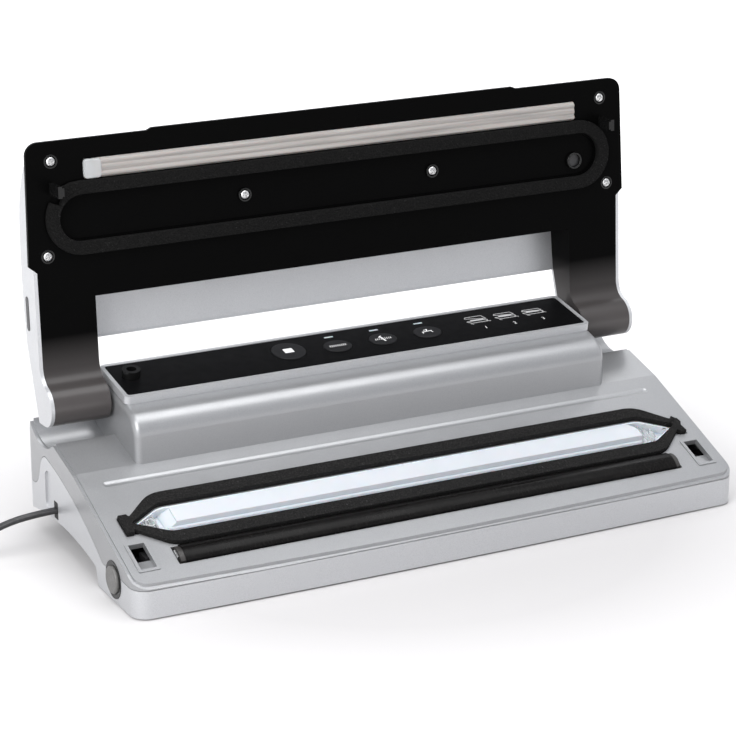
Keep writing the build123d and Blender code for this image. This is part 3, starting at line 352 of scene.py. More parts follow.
def laminations(name):
    """Stacked steel sheets of a transformer core."""
    made = Surface(name, (0.12, 0.12, 0.13), 0.5, 0.8)
    sheets = made.noise(1300, 1.0, (1, 0.02, 0.02))
    made.tint(sheets, 0.4, 0.6, (0.28, 0.28, 0.3))
    made.bump(sheets, 0.0002)
    return made.material


M = {
    "silver_paint": silver("silver_paint", 0.33, 0.36),
    "silver_light": silver("silver_light", 0.53, 0.42),
    "black_gloss": gloss_black("black_gloss", 0.005, 0.14),
    "plate_black": plate_black("plate_black"),
    "panel_black": satin_plastic("panel_black", (0.0025, 0.0025, 0.0028), 0.42, 2200, 0.05),
    "key_black": satin_plastic("key_black", (0.008, 0.008, 0.009), 0.45, 2200, 0.2),
    "black_plastic": satin_plastic("black_plastic", (0.012, 0.012, 0.013), 0.4),
    "grey_plastic": satin_plastic("grey_plastic", (0.12, 0.117, 0.113), 0.42),
    "foam": sponge("foam", 0.006, 0.07),
    "foam_dark": sponge("foam_dark", 0.0022, 0.03),
    "frosted": frosted("frosted", (0.56, 0.585, 0.62), 0.42, 0.08),
    "milky": frosted("milky", (0.70, 0.72, 0.76), 0.3, 0.1),
    "clear": clear("clear"),
    "bar": satin_plastic("bar", (0.02, 0.018, 0.017), 0.5),
    "tape": tape_cloth("tape"),
    "wire": metal("wire", 0.5, 0.35, 1.02, (0.03, 1, 1)),
    "steel": metal("steel", 0.62, 0.3, 1.0, (1, 1, 0.2)),
    "motor_steel": metal("motor_steel", 0.45, 0.38, 1.0, (0.1, 1, 1)),
    "brass": metal("brass", 0.66, 0.3, 1.16, (1, 0.1, 1)),
    "spring_steel": metal("spring_steel", 0.5, 0.3, 1.0, (0.2, 1, 1)),
    "core": laminations("core"),
    "silicone": silicone("silicone", (0.30, 0.28, 0.265)),
    "hose": silicone("hose", (0.6, 0.62, 0.64)),
    "rubber": satin_plastic("rubber", (0.02, 0.02, 0.02), 0.75, 1500),
    "bush": satin_plastic("bush", (0.72, 0.72, 0.7), 0.4),
    "pcb": satin_plastic("pcb", (0.02, 0.12, 0.05), 0.35),
    "light_pipe": frosted("light_pipe", (0.75, 0.78, 0.82), 0.3, 0.3),
    "cord": cord_sheath("cord"),
    "ink": print_ink("ink", 0.78),
    "ink_dim": print_ink("ink_dim", 0.5),
}


def wear(thing, material):
    """Gives an object one material."""
    thing.data.materials.clear()
    thing.data.materials.append(M[material])


# ---- building pieces -----------------------------------------------------------------------
def piece(name, mesh, material, body, replaced=(), smooth_angle=35):
    """A finished mesh as a piece that rides on a body and may stand for CAD nodes."""
    made = bpy.data.objects.new(name, mesh)
    scene.collection.objects.link(made)
    wear(made, material)
    mesh.shade_smooth()
    mesh.set_sharp_from_angle(angle=math.radians(smooth_angle))
    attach(made, body)
    if replaced:
        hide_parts(*replaced)
    return made


def mesh_from(bm, name):
    bmesh.ops.remove_doubles(bm, verts=bm.verts, dist=1e-7)
    bmesh.ops.recalc_face_normals(bm, faces=bm.faces)
    mesh = bpy.data.meshes.new(name)
    bm.to_mesh(mesh)
    bm.free()
    return mesh


def joined(meshes, name):
    """Several meshes as one."""
    bm = bmesh.new()
    for mesh in meshes:
        bm.from_mesh(mesh)
    return mesh_from(bm, name)


def slab(plane, loops, low, high, rounding):
    """Mesh of a flat shape: an outline and its holes, from low to high, with rounded edges."""
    data = bpy.data.curves.new("slab", "CURVE")
    data.dimensions = "2D"
    data.fill_mode = "BOTH"
    data.extrude = (high - low) / 2 - rounding
    data.bevel_depth = rounding
    data.bevel_resolution = 2
    data.offset = -rounding
    for loop in loops:
        spline = data.splines.new("POLY")
        spline.points.add(len(loop) - 1)
        for point, (x, y) in zip(spline.points, loop):
            point.co = (x, y, 0, 1)
        spline.use_cyclic_u = True
    holder = bpy.data.objects.new("slab", data)
    mesh = bpy.data.meshes.new_from_object(holder)
    bpy.data.objects.remove(holder)
    bpy.data.curves.remove(data)
    mesh.transform(plane @ Matrix.Translation((0, 0, (low + high) / 2)))
    return mesh


def arc(centre, r, start, end, steps):
    """Points of an arc, angles in degrees."""
    angles = [math.radians(start + (end - start) * i / steps) for i in range(steps + 1)]
    return [(centre[0] + r * math.cos(a), centre[1] + r * math.sin(a)) for a in angles]


def rounded_rectangle(centre, size, r, steps=6):
    half_x, half_y = size[0] / 2 - r, size[1] / 2 - r
    corners = ((half_x, half_y, 0), (-half_x, half_y, 90), (-half_x, -half_y, 180), (half_x, -half_y, 270))
    return [
        point for x, y, start in corners
        for point in arc((centre[0] + x, centre[1] + y), r, start, start + 90, steps)
    ]


def rounded_corners(points, radii, steps=6):
    """Outline with each corner turned into an arc of its radius."""
    made = []
    count = len(points)
    for i in range(count):
        corner = Vector(points[i])
        before = Vector(points[i - 1]) - corner
        after = Vector(points[(i + 1) % count]) - corner
        if radii[i] <= 0:
            made.append(tuple(corner))
            continue
        opening = before.angle(after)
        reach = radii[i] / math.tan(opening / 2)
        start = corner + before.normalized() * reach
        end = corner + after.normalized() * reach
        for step in range(steps + 1):
            t = step / steps
            made.append(tuple(start * (1 - t) ** 2 + corner * 2 * t * (1 - t) + end * t**2))
    return made


def lofted(sections):
    """Closed mesh through equal-length rings of points, capped at both ends."""
    bm = bmesh.new()
    rings = [[bm.verts.new(p) for p in ring] for ring in sections]
    count = len(rings[0])
    for first, second in zip(rings, rings[1:]):
        for i in range(count):
            j = (i + 1) % count
            bm.faces.new((first[i], first[j], second[j], second[i]))
    bm.faces.new(list(reversed(rings[0])))
    bm.faces.new(rings[-1])
    return mesh_from(bm, "loft")


def extruded_x(plane, profile, x0, x1, cuts=1):
    """Mesh of a profile of (along, out) points run along X."""
    sections = []
    for i in range(cuts + 1):
        x = x0 + (x1 - x0) * i / cuts
        sections.append([plane @ Vector((x, y, z)) for y, z in profile])
    return lofted(sections)


# ---- cord ----------------------------------------------------------------------------------
CORD_WIDTH = 5.4 * MM
CORD_THICK = 3.4 * MM
# the route's points, as in the part, in metres
CORD_ROUTE = [
    (-0.200, 0.0396, 0.0240), (-0.216, 0.0396, 0.0236), (-0.233, 0.0404, 0.0205), (-0.250, 0.0424, 0.0126),
    (-0.267, 0.0448, 0.0044), (-0.284, 0.0464, 0.0029),
]
COIL_CENTRE = (-0.300, 0.0106)
COIL_RADII = (36.4 * MM, 31.0 * MM, 25.6 * MM, 25.6 * MM, 31.0 * MM, 36.4 * MM)
COIL_STEPS = 20
LAYER = 3.5 * MM
# share of a turn at which the cord moves over to the next turn, and up to the second layer
SHIFT_FROM = 0.8
CLIMB_FROM = 0.55


def smooth_step(t):
    t = max(0.0, min(1.0, t))
    return t * t * (3 - 2 * t)


def coil_points():
    """Three turns inwards on the table and two and a quarter outwards on top of them."""
    made = []
    last = 5 * COIL_STEPS + COIL_STEPS // 4
    for i in range(last + 1):
        turn, step = divmod(i, COIL_STEPS)
        share = step / COIL_STEPS
        to_next = smooth_step((share - SHIFT_FROM) / 0.2)
        following = COIL_RADII[min(turn + 1, 5)]
        r = COIL_RADII[turn] + (following - COIL_RADII[turn]) * to_next
        climbed = 1.0 if turn > 2 else 0.0
        if turn == 2:
            climbed = smooth_step((share - CLIMB_FROM) / 0.25)
        a = math.radians(90) + 2 * math.pi * i / COIL_STEPS
        z = CORD_THICK / 2 + 0.1 * MM + LAYER * climbed
        made.append((COIL_CENTRE[0] + r * math.cos(a), COIL_CENTRE[1] + r * math.sin(a), z))
    return made


def plug_back():
    """Middle of the plug's rear face, where the cord goes in."""
    low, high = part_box("plug_body")
    return ((low[0] + high[0]) / 2, high[1], (low[2] + high[2]) / 2)


def make_cord():
    end = Vector(plug_back())
    coil = coil_points()
    leave = Vector(coil[-1])
    tail = [leave + Vector((0, -0.011, 0)), leave.lerp(end, 0.62), end + Vector((0, 0.008, 0)), end]
    points = CORD_ROUTE + coil + [tuple(p) for p in tail]
    data = bpy.data.curves.new("cord", "CURVE")
    data.dimensions = "3D"
    data.twist_mode = "Z_UP"
    spline = data.splines.new("NURBS")
    spline.points.add(len(points) - 1)
    for target, point in zip(spline.points, points):
        target.co = (*point, 1)
    spline.order_u = 3
    spline.use_endpoint_u = True
    spline.resolution_u = 4
    holder = bpy.data.objects.new("cord_line", data)
    line = bpy.data.meshes.new_from_object(holder)
    path = [vertex.co.copy() for vertex in line.vertices]
    bpy.data.objects.remove(holder)
    return path


def ribbon_frames(path):
    """Direction, level side and up at each point of the cord's line."""
    frames = []
    for i, point in enumerate(path):
        ahead = path[min(i + 1, len(path) - 1)] - path[max(i - 1, 0)]
        way = ahead.normalized()
        side = way.cross(Vector((0, 0, 1))).normalized()
        frames.append((point, side, side.cross(way)))
    return frames


def cord_tube(path):
    r = CORD_THICK / 2
    core = CORD_WIDTH / 2 - r
    profile = arc((core, 0), r, -112, 112, 7) + arc((-core, 0), r, 68, 292, 7)
    sections = [[p + side * x + up * y for x, y in profile] for p, side, up in ribbon_frames(path)]
    return lofted(sections)


make_camera()
cord_line = make_cord()
CORD_NODES = ("power_cord", "cord_coil", "cord_tail")
power_cord = piece("mains_cord", cord_tube(cord_line), "cord", "base", CORD_NODES)


# ---- plug ----------------------------------------------------------------------------------
def plug_shape():
    """Flat two-pin plug: a waisted grip that tapers to a ribbed sleeve where the cord enters."""
    low, high = (Vector(corner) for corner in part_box("plug_body"))
    middle = (low + high) / 2
    depth = high.y - low.y
    half_x, half_z = (high.x - low.x) / 2, (high.z - low.z) / 2
    # share of the depth from the pins' face, half width share, half height share
    stations = (
        (0.0, 0.90, 0.86), (0.03, 0.99, 0.98), (0.10, 1.0, 1.0), (0.30, 0.97, 1.0), (0.50, 0.86, 0.90),
        (0.66, 0.74, 0.82), (0.78, 0.50, 0.70), (0.86, 0.32, 0.56), (0.93, 0.27, 0.47), (1.0, 0.24, 0.40),
    )
    sections = []
    for share, wide, tall in stations:
        size = (2 * half_x * wide, 2 * half_z * tall)
        ring = rounded_rectangle((0, 0), size, min(size) * 0.42, 6)
        sections.append([Vector((middle.x + x, low.y + depth * share, middle.z + z)) for x, z in ring])
    mesh = lofted(sections)
    ribs = [mesh]
    for i in range(4):
        y = low.y + depth * (0.36 + 0.07 * i)
        size = (2 * half_x * (0.93 - 0.05 * i), 2 * half_z * 0.98)
        ring = rounded_rectangle((0, 0), size, min(size) * 0.42, 6)
        rib = [[Vector((middle.x + x * g, y + dy, middle.z + z * g)) for x, z in ring]
               for dy, g in ((-0.0009, 0.93), (-0.0004, 1.0), (0.0004, 1.0), (0.0009, 0.93))]
        ribs.append(lofted(rib))
    return joined(ribs, "plug_shape")


plug = piece("plug_grip", plug_shape(), "cord", "base", ("plug_body",))

# ---- gaskets -------------------------------------------------------------------------------
CHAMBER_U = 106.5 * MM
GASKET_HALF = 21.5 * MM
GASKET_BAND = 9.0 * MM
GASKET_STRAIGHT = 165.0 * MM
GASKET_TIP = 189.0 * MM
TIP_LENGTH = 5.0 * MM
CHAMBER_TIP = 183.5 * MM
TIP_HALF = 7.8 * MM
GASKET_TOP = 2.8 * MM
GASKET_LOW = -1.0 * MM
LID_GASKET_U = 109.0 * MM
LID_GASKET_HALF = 22.0 * MM
LID_GASKET_BAND = 8.0 * MM
LID_GASKET_LENGTH = 382.4 * MM
LID_GASKET_TOP = 3.2 * MM


def down_deck(loop, shift):
    return [(x, y + shift) for x, y in loop]


def lower_gasket_outline():
    """Long hexagon with die-cut block tips, the right one torn to a notch."""
    slant = GASKET_TIP - TIP_LENGTH
    half = GASKET_HALF
    right = [
        (GASKET_STRAIGHT, half), (slant - 1.4 * MM, 5.6 * MM), (slant + 0.6 * MM, 5.4 * MM),
        (slant + 1.2 * MM, TIP_HALF), (slant + 3.4 * MM, 4.6 * MM), (GASKET_TIP - 0.8 * MM, 4.9 * MM),
        (GASKET_TIP, 1.0 * MM), (GASKET_TIP - 1.6 * MM, -1.6 * MM), (GASKET_TIP - 0.6 * MM, -TIP_HALF),
        (slant + 0.6 * MM, -TIP_HALF), (slant - 1.4 * MM, -5.6 * MM), (GASKET_STRAIGHT, -half),
    ]
    left = [
        (-GASKET_STRAIGHT, -half), (-slant, -5.2 * MM), (-slant, -TIP_HALF),
        (-GASKET_TIP + 0.6 * MM, -TIP_HALF), (-GASKET_TIP, TIP_HALF), (-slant + 0.4 * MM, TIP_HALF),
        (-slant + 1.2 * MM, 5.4 * MM), (-GASKET_STRAIGHT, half),
    ]
    radii = [20 * MM] + [0.5 * MM] * 10 + [20 * MM, 20 * MM] + [0.7 * MM] * 6 + [20 * MM]
    return rounded_corners(right + left, radii, 10)


def chamber_loop(shrink):
    half = GASKET_HALF - GASKET_BAND - shrink
    tip = CHAMBER_TIP - 1.6 * shrink
    straight = GASKET_STRAIGHT - 2.0 * MM
    points = [
        (straight, half), (tip, 0), (straight, -half), (-straight, -half), (-tip, 0), (-straight, half),
    ]
    radii = [13 * MM, 1.2 * MM, 13 * MM, 13 * MM, 1.2 * MM, 13 * MM]
    return rounded_corners(points, radii, 10)


def make_lower_gasket():
    loops = [down_deck(lower_gasket_outline(), -CHAMBER_U), down_deck(chamber_loop(0.1 * MM), -CHAMBER_U)]
    mesh = slab(DECK, loops, GASKET_LOW + 0.1 * MM, GASKET_TOP - 0.1 * MM, 0.35 * MM)
    piece("chamber_gasket", mesh, "foam", "base", ("lower_gasket",))


def stadium_loop(u, length, width):
    r = width / 2
    x = length / 2 - r
    return arc((x, u), r, -90, 90, 24) + arc((-x, u), r, 90, 270, 24)


def lid_gasket_outline():
    """Racetrack with a wedge cut out beside the left hook and a straight shoulder above it."""
    r = LID_GASKET_HALF - 0.05 * MM
    x = LID_GASKET_LENGTH / 2 - r
    u = LID_GASKET_U
    right = arc((x, u), r, -90, 90, 24)
    left = arc((-x, u), r, 150, 270, 20)
    notch = [
        (-x - 6.0 * MM, u + r - 0.6 * MM), (-x - 11.0 * MM, u + r - 2.4 * MM),
        (-x - 11.4 * MM, u + 12.5 * MM), (-x - 13.2 * MM, u + 8.6 * MM),
    ]
    return right + [(-x, u + r)] + notch + left


def make_lid_gasket():
    inner = (LID_GASKET_LENGTH - 2 * LID_GASKET_BAND, 2 * LID_GASKET_HALF - 2 * LID_GASKET_BAND)
    loops = [lid_gasket_outline(), stadium_loop(LID_GASKET_U, *inner)]
    mesh = slab(LID, loops, -0.9 * MM, LID_GASKET_TOP - 0.1 * MM, 0.35 * MM)
    piece("lid_seal_ring", mesh, "foam_dark", "lid", ("lid_gasket",))


# ---- sealing strip -------------------------------------------------------------------------
STRIP_U = 137.3 * MM
STRIP_HALF = 5.8 * MM
STRIP_TOP = 2.4 * MM
STRIP_END = 166.4 * MM


def strip_profile():
    """Section of the silicone strip: three rounded ribs with grooves between them."""
    half = STRIP_HALF
    made = [(STRIP_U - half, -1.1 * MM)]
    steps = 36
    for i in range(steps + 1):
        t = i / steps
        rib = 0.5 + 0.5 * math.cos(2 * math.pi * 3 * (t - 0.5))
        edge = min(1.0, 6.0 * min(t, 1 - t) + 0.35)
        out = STRIP_TOP * edge * (0.70 + 0.30 * rib**0.6)
        made.append((STRIP_U - half + 2 * half * t, out - 0.02 * MM))
    made.append((STRIP_U + half, -1.1 * MM))
    return made


def make_strip():
    mesh = extruded_x(LID, strip_profile(), -STRIP_END + 6 * MM, STRIP_END - 0.4 * MM, 60)
    piece("pressure_strip_ribs", mesh, "silicone", "lid", ("pressure_strip",))
    cap = rounded_rectangle((-STRIP_END + 5.5 * MM, STRIP_U), (11 * MM - 0.1 * MM, 2 * STRIP_HALF), 2.2 * MM)
    end = slab(LID, [cap], -1.1 * MM, STRIP_TOP + 0.2 * MM, 0.9 * MM)
    piece("pressure_strip_end", end, "clear", "lid")


# ---- tray in the chamber -------------------------------------------------------------------
TRAY_TOP = -0.6 * MM
TRAY_FLOOR = -6.3 * MM
TRAY_LOW = -7.45 * MM
TRAY_SHRINK = 1.05 * MM
SHELF_WIDTH = 13.6 * MM
SHELF_LEFT = -165.0 * MM
SHELF_RIGHT = 160.0 * MM
SHELF_SLANT = 9.0 * MM


def shelf_back():
    return -CHAMBER_U + GASKET_HALF - GASKET_BAND - TRAY_SHRINK - 0.1 * MM


def tray_shell():
    """Shallow dish along the chamber, with thin upright walls."""
    outer = down_deck(chamber_loop(TRAY_SHRINK), -CHAMBER_U)
    inner = down_deck(chamber_loop(TRAY_SHRINK + 1.2 * MM), -CHAMBER_U)
    floor = slab(DECK, [outer], TRAY_LOW, TRAY_FLOOR, 0.2 * MM)
    wall = slab(DECK, [outer, inner], TRAY_LOW, TRAY_TOP, 0.25 * MM)
    return joined([floor, wall], "tray_shell")


def tray_shelf():
    """Raised milky shelf: its left end slants down, its back right corner is round."""
    back = shelf_back()
    front = back - SHELF_WIDTH
    high = TRAY_TOP - 0.1 * MM
    low = TRAY_FLOOR + 0.2 * MM
    top = [(SHELF_RIGHT, front), *arc((SHELF_RIGHT - 9 * MM, back - 9 * MM), 9 * MM, 0, 90, 8),
           (SHELF_LEFT + SHELF_SLANT, back), (SHELF_LEFT + SHELF_SLANT, front)]
    foot = list(top)
    foot[-2] = (SHELF_LEFT + 2 * MM, back)
    foot[-1] = (SHELF_LEFT + 3 * MM, front - 1.2 * MM)
    foot[0] = (SHELF_RIGHT, front - 1.2 * MM)
    rings = [
        [DECK @ Vector((x, y, low)) for x, y in foot],
        [DECK @ Vector((x, y, high - 0.9 * MM)) for x, y in top],
        [DECK @ Vector((x * 0.9985, y + (back - 7 * MM - y) * 0.06, high)) for x, y in top],
    ]
    return lofted(rings)


def tray_lip():
    """Bright narrow rib that runs along the foot of the shelf's front."""
    front = shelf_back() - SHELF_WIDTH - 1.0 * MM
    profile = [(front - 1.3 * MM, TRAY_FLOOR), (front - 1.0 * MM, TRAY_FLOOR + 2.0 * MM),
               (front - 0.5 * MM, TRAY_FLOOR + 2.5 * MM), (front + 0.6 * MM, TRAY_FLOOR + 2.5 * MM),
               (front + 0.8 * MM, TRAY_FLOOR)]
    return extruded_x(DECK, profile, SHELF_LEFT + 4 * MM, SHELF_RIGHT - 1 * MM, 4)


def end_ribs(side):
    """Thin upright ribs across a clear wedge end."""
    made = []
    start = SHELF_RIGHT + 1.5 * MM if side > 0 else -SHELF_LEFT + 2.5 * MM
    for i, reach in enumerate((8.2, 6.0, 3.6)):
        x = side * (start + i * 3.6 * MM)
        rib = rounded_rectangle((x, -CHAMBER_U), (0.8 * MM, 2 * reach * MM), 0.3 * MM)
        made.append(slab(DECK, [rib], TRAY_FLOOR, TRAY_TOP - 1.2 * MM, 0.15 * MM))
    return made


def left_boss():
    """Round drain boss in the left wedge."""
    centre = (SHELF_LEFT - 5.5 * MM, -CHAMBER_U + 1.5 * MM)
    ring = [arc(centre, 3.4 * MM, 0, 345, 23), arc(centre, 2.2 * MM, 0, 345, 23)]
    return slab(DECK, ring, TRAY_FLOOR, TRAY_TOP - 0.5 * MM, 0.3 * MM)


def make_tray():
    piece("chamber_tray_dish", tray_shell(), "milky", "base", ("chamber_tray",))
    shelf = joined([tray_shelf(), tray_lip()], "shelf")
    piece("chamber_tray_shelf", shelf, "frosted", "base", smooth_angle=25)
    ribs = end_ribs(-1) + end_ribs(1) + [left_boss()]
    piece("chamber_tray_ribs", joined(ribs, "ribs"), "clear", "base")


# ---- screws in the lid ---------------------------------------------------------------------
SCREW_HEAD_R = 2.6 * MM
SCREW_HEAD_TOP = 0.88 * MM
CROSS_REACH = 1.7 * MM
CROSS_HALF = 0.42 * MM
CROSS_DEPTH = 0.75 * MM


def screw_head(centre, turn):
    """Domed head with a cross recess, from a fine polar net."""
    rings = 18
    spokes = 64
    bm = bmesh.new()
    made = []
    for i in range(rings + 1):
        r = SCREW_HEAD_R * i / rings
        ring = []
        for j in range(spokes):
            a = 2 * math.pi * j / spokes
            x, y = r * math.cos(a), r * math.sin(a)
            out = SCREW_HEAD_TOP * (1 - 0.75 * (r / SCREW_HEAD_R) ** 4)
            across = min(abs(x), abs(y))
            along = max(abs(x), abs(y))
            recess = smooth_step((CROSS_HALF + 0.12 * MM - across) / (0.24 * MM))
            recess *= smooth_step((CROSS_REACH + 0.2 * MM - along) / (0.4 * MM))
            spot = Matrix.Rotation(turn, 2) @ Vector((x, y))
            point = Vector((centre[0] + spot.x, centre[1] + spot.y, out - CROSS_DEPTH * recess))
            ring.append(bm.verts.new(LID @ point))
        made.append(ring)
    skirt = []
    for j in range(spokes):
        a = 2 * math.pi * j / spokes + turn
        point = Vector((centre[0] + SCREW_HEAD_R * math.cos(a), centre[1] + SCREW_HEAD_R * math.sin(a), 0))
        skirt.append(bm.verts.new(LID @ point))
    made.append(skirt)
    for first, second in zip(made, made[1:]):
        for j in range(spokes):
            k = (j + 1) % spokes
            bm.faces.new((first[j], first[k], second[k], second[j]))
    return mesh_from(bm, "screw_head")


# x and u of each screw, in millimetres
LID_SCREWS = ((-186.0, 143.8), (186.0, 143.8), (-191.0, 88.0), (191.0, 88.0), (-64.0, 110.0), (64.0, 110.0))
COLLAR_RADII = (4.2 * MM, 3.2 * MM)


def make_lid_screws():
    heads = [screw_head((x * MM, u * MM), 0.5 + 0.7 * i) for i, (x, u) in enumerate(LID_SCREWS)]
    piece("lid_screw_heads", joined(heads, "heads"), "steel", "lid", ("lid_screws",))
    collars = []
    for x, u in LID_SCREWS:
        rings = [arc((x * MM, u * MM), r, 0, 350, 35) for r in COLLAR_RADII]
        collars.append(slab(LID, rings, -0.5 * MM, 0.35 * MM, 0.12 * MM))
    piece("lid_screw_collars", joined(collars, "collars"), "black_gloss", "lid")


# ---- control panel prints ------------------------------------------------------------------
PRINT_LOW = -0.05 * MM
PRINT_TOP = 0.06 * MM
STOP_KEY_AT = (-42.0, 3.4)
SMALL_KEY_X0 = -9.9
SMALL_KEY_PITCH = 31.4
KEY_TOP = 0.5 * MM


def bar_mark(start, end, width, lift):
    """Thin printed line between two points of the panel, in millimetres."""
    a, b = Vector(start), Vector(end)
    way = (b - a).normalized()
    side = Vector((-way.y, way.x)) * width / 2
    loop = [tuple(p * MM) for p in (a - side, b - side, b + side, a + side)]
    return slab(PANEL, [loop], lift + PRINT_LOW, lift + PRINT_TOP, 0.01 * MM)


def hatching(x, span, width):
    """Row of nine short strokes across a key, between these two heights on the panel."""
    low, high = span
    starts = [x - 5.2 + i * 1.3 for i in range(9)]
    ends = [x - 4.8 + i * 1.3 for i in range(9)]
    return [bar_mark((a, low), (b, high), width, KEY_TOP) for a, b in zip(starts, ends)]


def key_pictograms():
    """Generic marks on the keys: a square, a hatched seam, a seam with an arrow, a pump handle."""
    on_key = KEY_TOP
    made = {}
    x, p = STOP_KEY_AT
    square = rounded_rectangle((x * MM, p * MM), (6.2 * MM, 5.4 * MM), 0.3 * MM, 2)
    made["stop_button"] = [slab(PANEL, [square], on_key + PRINT_LOW, on_key + PRINT_TOP, 0.01 * MM)]
    x = SMALL_KEY_X0
    made["seal_button"] = hatching(x, (-0.9, 1.5), 0.45)
    x += SMALL_KEY_PITCH
    made["vacuum_seal_button"] = hatching(x, (-1.1, 1.1), 0.4) + [
        bar_mark((x + 0.4, -3.4), (x - 0.6, 2.4), 1.1, on_key),
        bar_mark((x - 2.0, 2.0), (x + 0.2, 3.8), 0.9, on_key),
    ]
    x += SMALL_KEY_PITCH
    made["canister_button"] = [
        bar_mark((x - 3.8, 0.2), (x + 3.4, 0.8), 0.8, on_key),
        bar_mark((x - 0.2, 0.4), (x + 0.8, 3.4), 0.9, on_key),
        bar_mark((x - 3.0, 0.2), (x - 3.6, -1.8), 0.6, on_key),
        bar_mark((x + 2.8, 0.4), (x + 3.2, -1.6), 0.6, on_key),
        bar_mark((x - 1.8, 2.2), (x + 0.4, 2.6), 0.6, on_key),
    ]
    return made


def step_picture(x, p, lid_lift):
    """Small line drawing of a sealer, its lid raised by some millimetres."""
    lines = []
    base = [(x - 7.0, p - 0.4), (x - 4.6, p - 3.0), (x + 7.0, p - 3.0), (x + 7.6, p - 0.6)]
    lid = [
        (x - 6.4, p + 1.4 + lid_lift), (x - 5.4, p + 3.0 + lid_lift), (x + 6.0, p + 3.0 + lid_lift),
        (x + 7.4, p + 0.6),
    ]
    for loop in (base, lid):
        for a, b in zip(loop, loop[1:] + loop[:1]):
            lines.append(bar_mark(a, b, 0.55, 0.0))
    lines.append(bar_mark((x - 4.0, p + 0.4), (x + 5.4, p + 0.2), 1.3, 0.0))
    lines.append(bar_mark((x - 5.6, p - 3.6), (x - 3.8, p - 4.6), 0.5, 0.0))
    lines.append(bar_mark((x + 6.2, p - 2.0), (x + 9.0, p - 3.4), 0.6, 0.0))
    return lines


def digit(text, x, p, height):
    """A printed number, as flat type."""
    data = bpy.data.curves.new("digit", "FONT")
    data.body = text
    data.size = height * MM
    data.extrude = 0.05 * MM
    data.align_x = "CENTER"
    data.align_y = "CENTER"
    holder = bpy.data.objects.new("digit", data)
    mesh = bpy.data.meshes.new_from_object(holder)
    bpy.data.objects.remove(holder)
    bpy.data.curves.remove(data)
    mesh.transform(PANEL @ Matrix.Translation((x * MM, p * MM, PRINT_TOP - 0.05 * MM)))
    return mesh


def make_prints():
    for body, meshes in key_pictograms().items():
        piece(body + "_mark", joined(meshes, "mark"), "ink", body)
    pictures = step_picture(91.0, 5.5, 2.2) + step_picture(111.5, 5.5, 1.0) + step_picture(132.0, 5.5, 0.2)
    piece("panel_pictures", joined(pictures, "pictures"), "ink_dim", "base")
    numbers = [digit(str(i + 1), x, -5.2, 4.2) for i, x in enumerate((92.5, 113.5, 134.5))]
    piece("panel_numbers", joined(numbers, "numbers"), "ink", "base")


# ---- small details -------------------------------------------------------------------------
SUCTION_AT = (167.0 * MM, 105.0 * MM)
SUCTION_RING_R = 5.4 * MM
SUCTION_BORE_R = 3.9 * MM


def make_suction_port():
    """Port through the lid's plate into the chamber: a raised ring round a dark hole."""
    ring = [arc(SUCTION_AT, r, 0, 352, 44) for r in (SUCTION_RING_R, SUCTION_BORE_R)]
    mesh = slab(LID, ring, -1.3 * MM, 1.0 * MM, 0.6 * MM)
    piece("suction_port", mesh, "black_gloss", "lid")
    cup = slab(LID, [arc(SUCTION_AT, SUCTION_BORE_R, 0, 352, 44)], -1.3 * MM, -1.0 * MM, 0.05 * MM)
    piece("suction_port_screen", cup, "black_plastic", "lid")


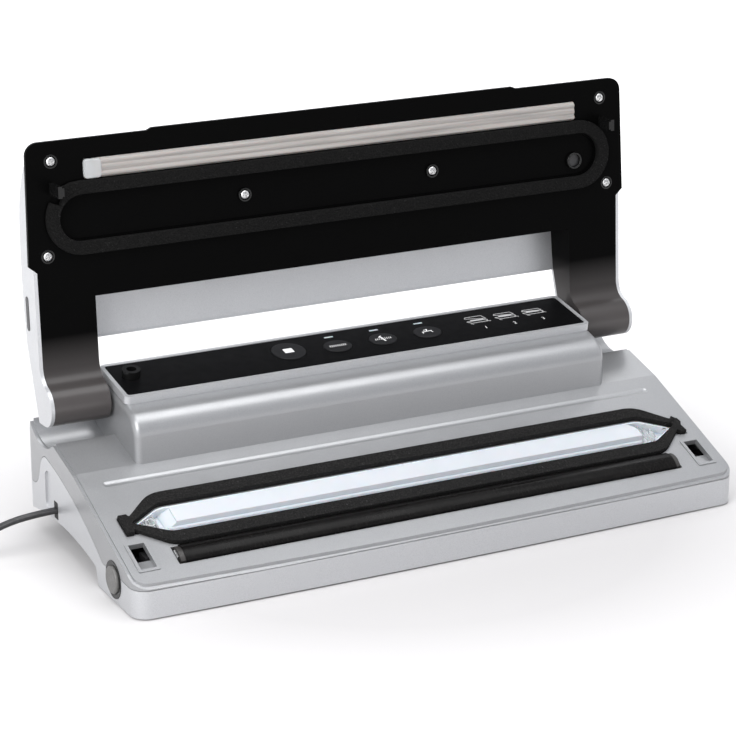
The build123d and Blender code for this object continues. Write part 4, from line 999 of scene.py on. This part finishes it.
def dress_frame():
    """Materials of the CAD nodes that stay as they are."""
    made = {
        "lower_housing": "silver_light", "upper_housing": "silver_paint", "panel_rim": "silver_light",
        "control_panel": "panel_black", "key_lights": "light_pipe", "stop_key": "key_black",
        "seal_key": "key_black", "vacuum_seal_key": "key_black", "canister_key": "key_black",
        "control_board": "pcb", "hose_port": "black_gloss", "seal_bar": "bar", "heating_wire": "wire",
        "ptfe_tape": "tape", "bar_terminals": "steel", "rubber_feet": "rubber",
        "housing_screws": "steel", "vacuum_pump": "black_plastic", "pump_motor": "motor_steel",
        "motor_shaft": "steel", "pump_eccentric": "brass", "transformer": "core",
        "vacuum_hose": "hose", "hinge_pins": "steel", "hinge_bushes": "bush",
        "lid_shell": "silver_light", "lid_plate": "plate_black", "arm_inserts": "black_plastic",
        "cord_gland": "rubber", "plug_pins": "brass",
    }
    for side in ("left", "right"):
        made["button_ring_" + side] = "black_gloss"
        made["release_button_" + side] = "grey_plastic"
        made["latch_catch_" + side] = "black_plastic"
        made["release_spring_" + side] = "spring_steel"
        made["latch_hook_" + side] = "black_gloss"
    for node, material in made.items():
        wear(NODES[node], material)


# width of the round on each piece's edges, in millimetres
BEVELS = {
    "lower_housing": 0.8, "upper_housing": 0.5, "panel_rim": 0.5, "lid_plate": 0.5, "lid_shell": 0.5,
    "control_panel": 0.2, "hose_port": 0.4, "seal_bar": 0.3, "button_ring_left": 0.3,
    "button_ring_right": 0.3,
}


def soften_edges():
    """Moulded edges: a small round on every sharp edge of the large pieces."""
    for node, width in BEVELS.items():
        bevel = NODES[node].modifiers.new("moulded_edge", "BEVEL")
        bevel.width = width * MM
        bevel.segments = 2
        bevel.limit_method = "ANGLE"
        bevel.angle_limit = math.radians(38)
        bevel.harden_normals = True


def make_floor():
    """White table with painted light: it glows more away from the object, so that it fades into the room,
    and stays grey near the object as a painted shadow round it.
    """
    mesh = bpy.data.meshes.new("floor")
    bm = bmesh.new()
    bmesh.ops.create_grid(bm, x_segments=12, y_segments=12, size=6.0)
    bm.to_mesh(mesh)
    bm.free()
    floor = bpy.data.objects.new("floor", mesh)
    scene.collection.objects.link(floor)
    made = Surface("floor", (0.53, 0.52, 0.52), 0.75, 0.0, Specular_IOR_Level=0.2)
    made.tint(made.noise(3, 2.0), 0.4, 0.7, (0.52, 0.51, 0.51))
    # painted light and shadow: emission rises with distance from the origin, from 0.17 m to 0.6 m, so the
    # floor near the object stays darker as a painted shadow
    away = made.nodes.new("ShaderNodeVectorMath")
    away.operation = "LENGTH"
    made.links.new(made.place, away.inputs[0])
    glow = made.spread(away.outputs["Value"], 0.17, 0.6, 0.0, 0.8)
    made.set("Emission Color", (1, 1, 1, 1))
    made.links.new(glow, made.shader.inputs["Emission Strength"])
    floor.data.materials.append(made.material)


dress_frame()
soften_edges()
make_lower_gasket()
make_lid_gasket()
make_strip()
make_tray()
make_lid_screws()
make_prints()
make_suction_port()
make_floor()
make_lights()
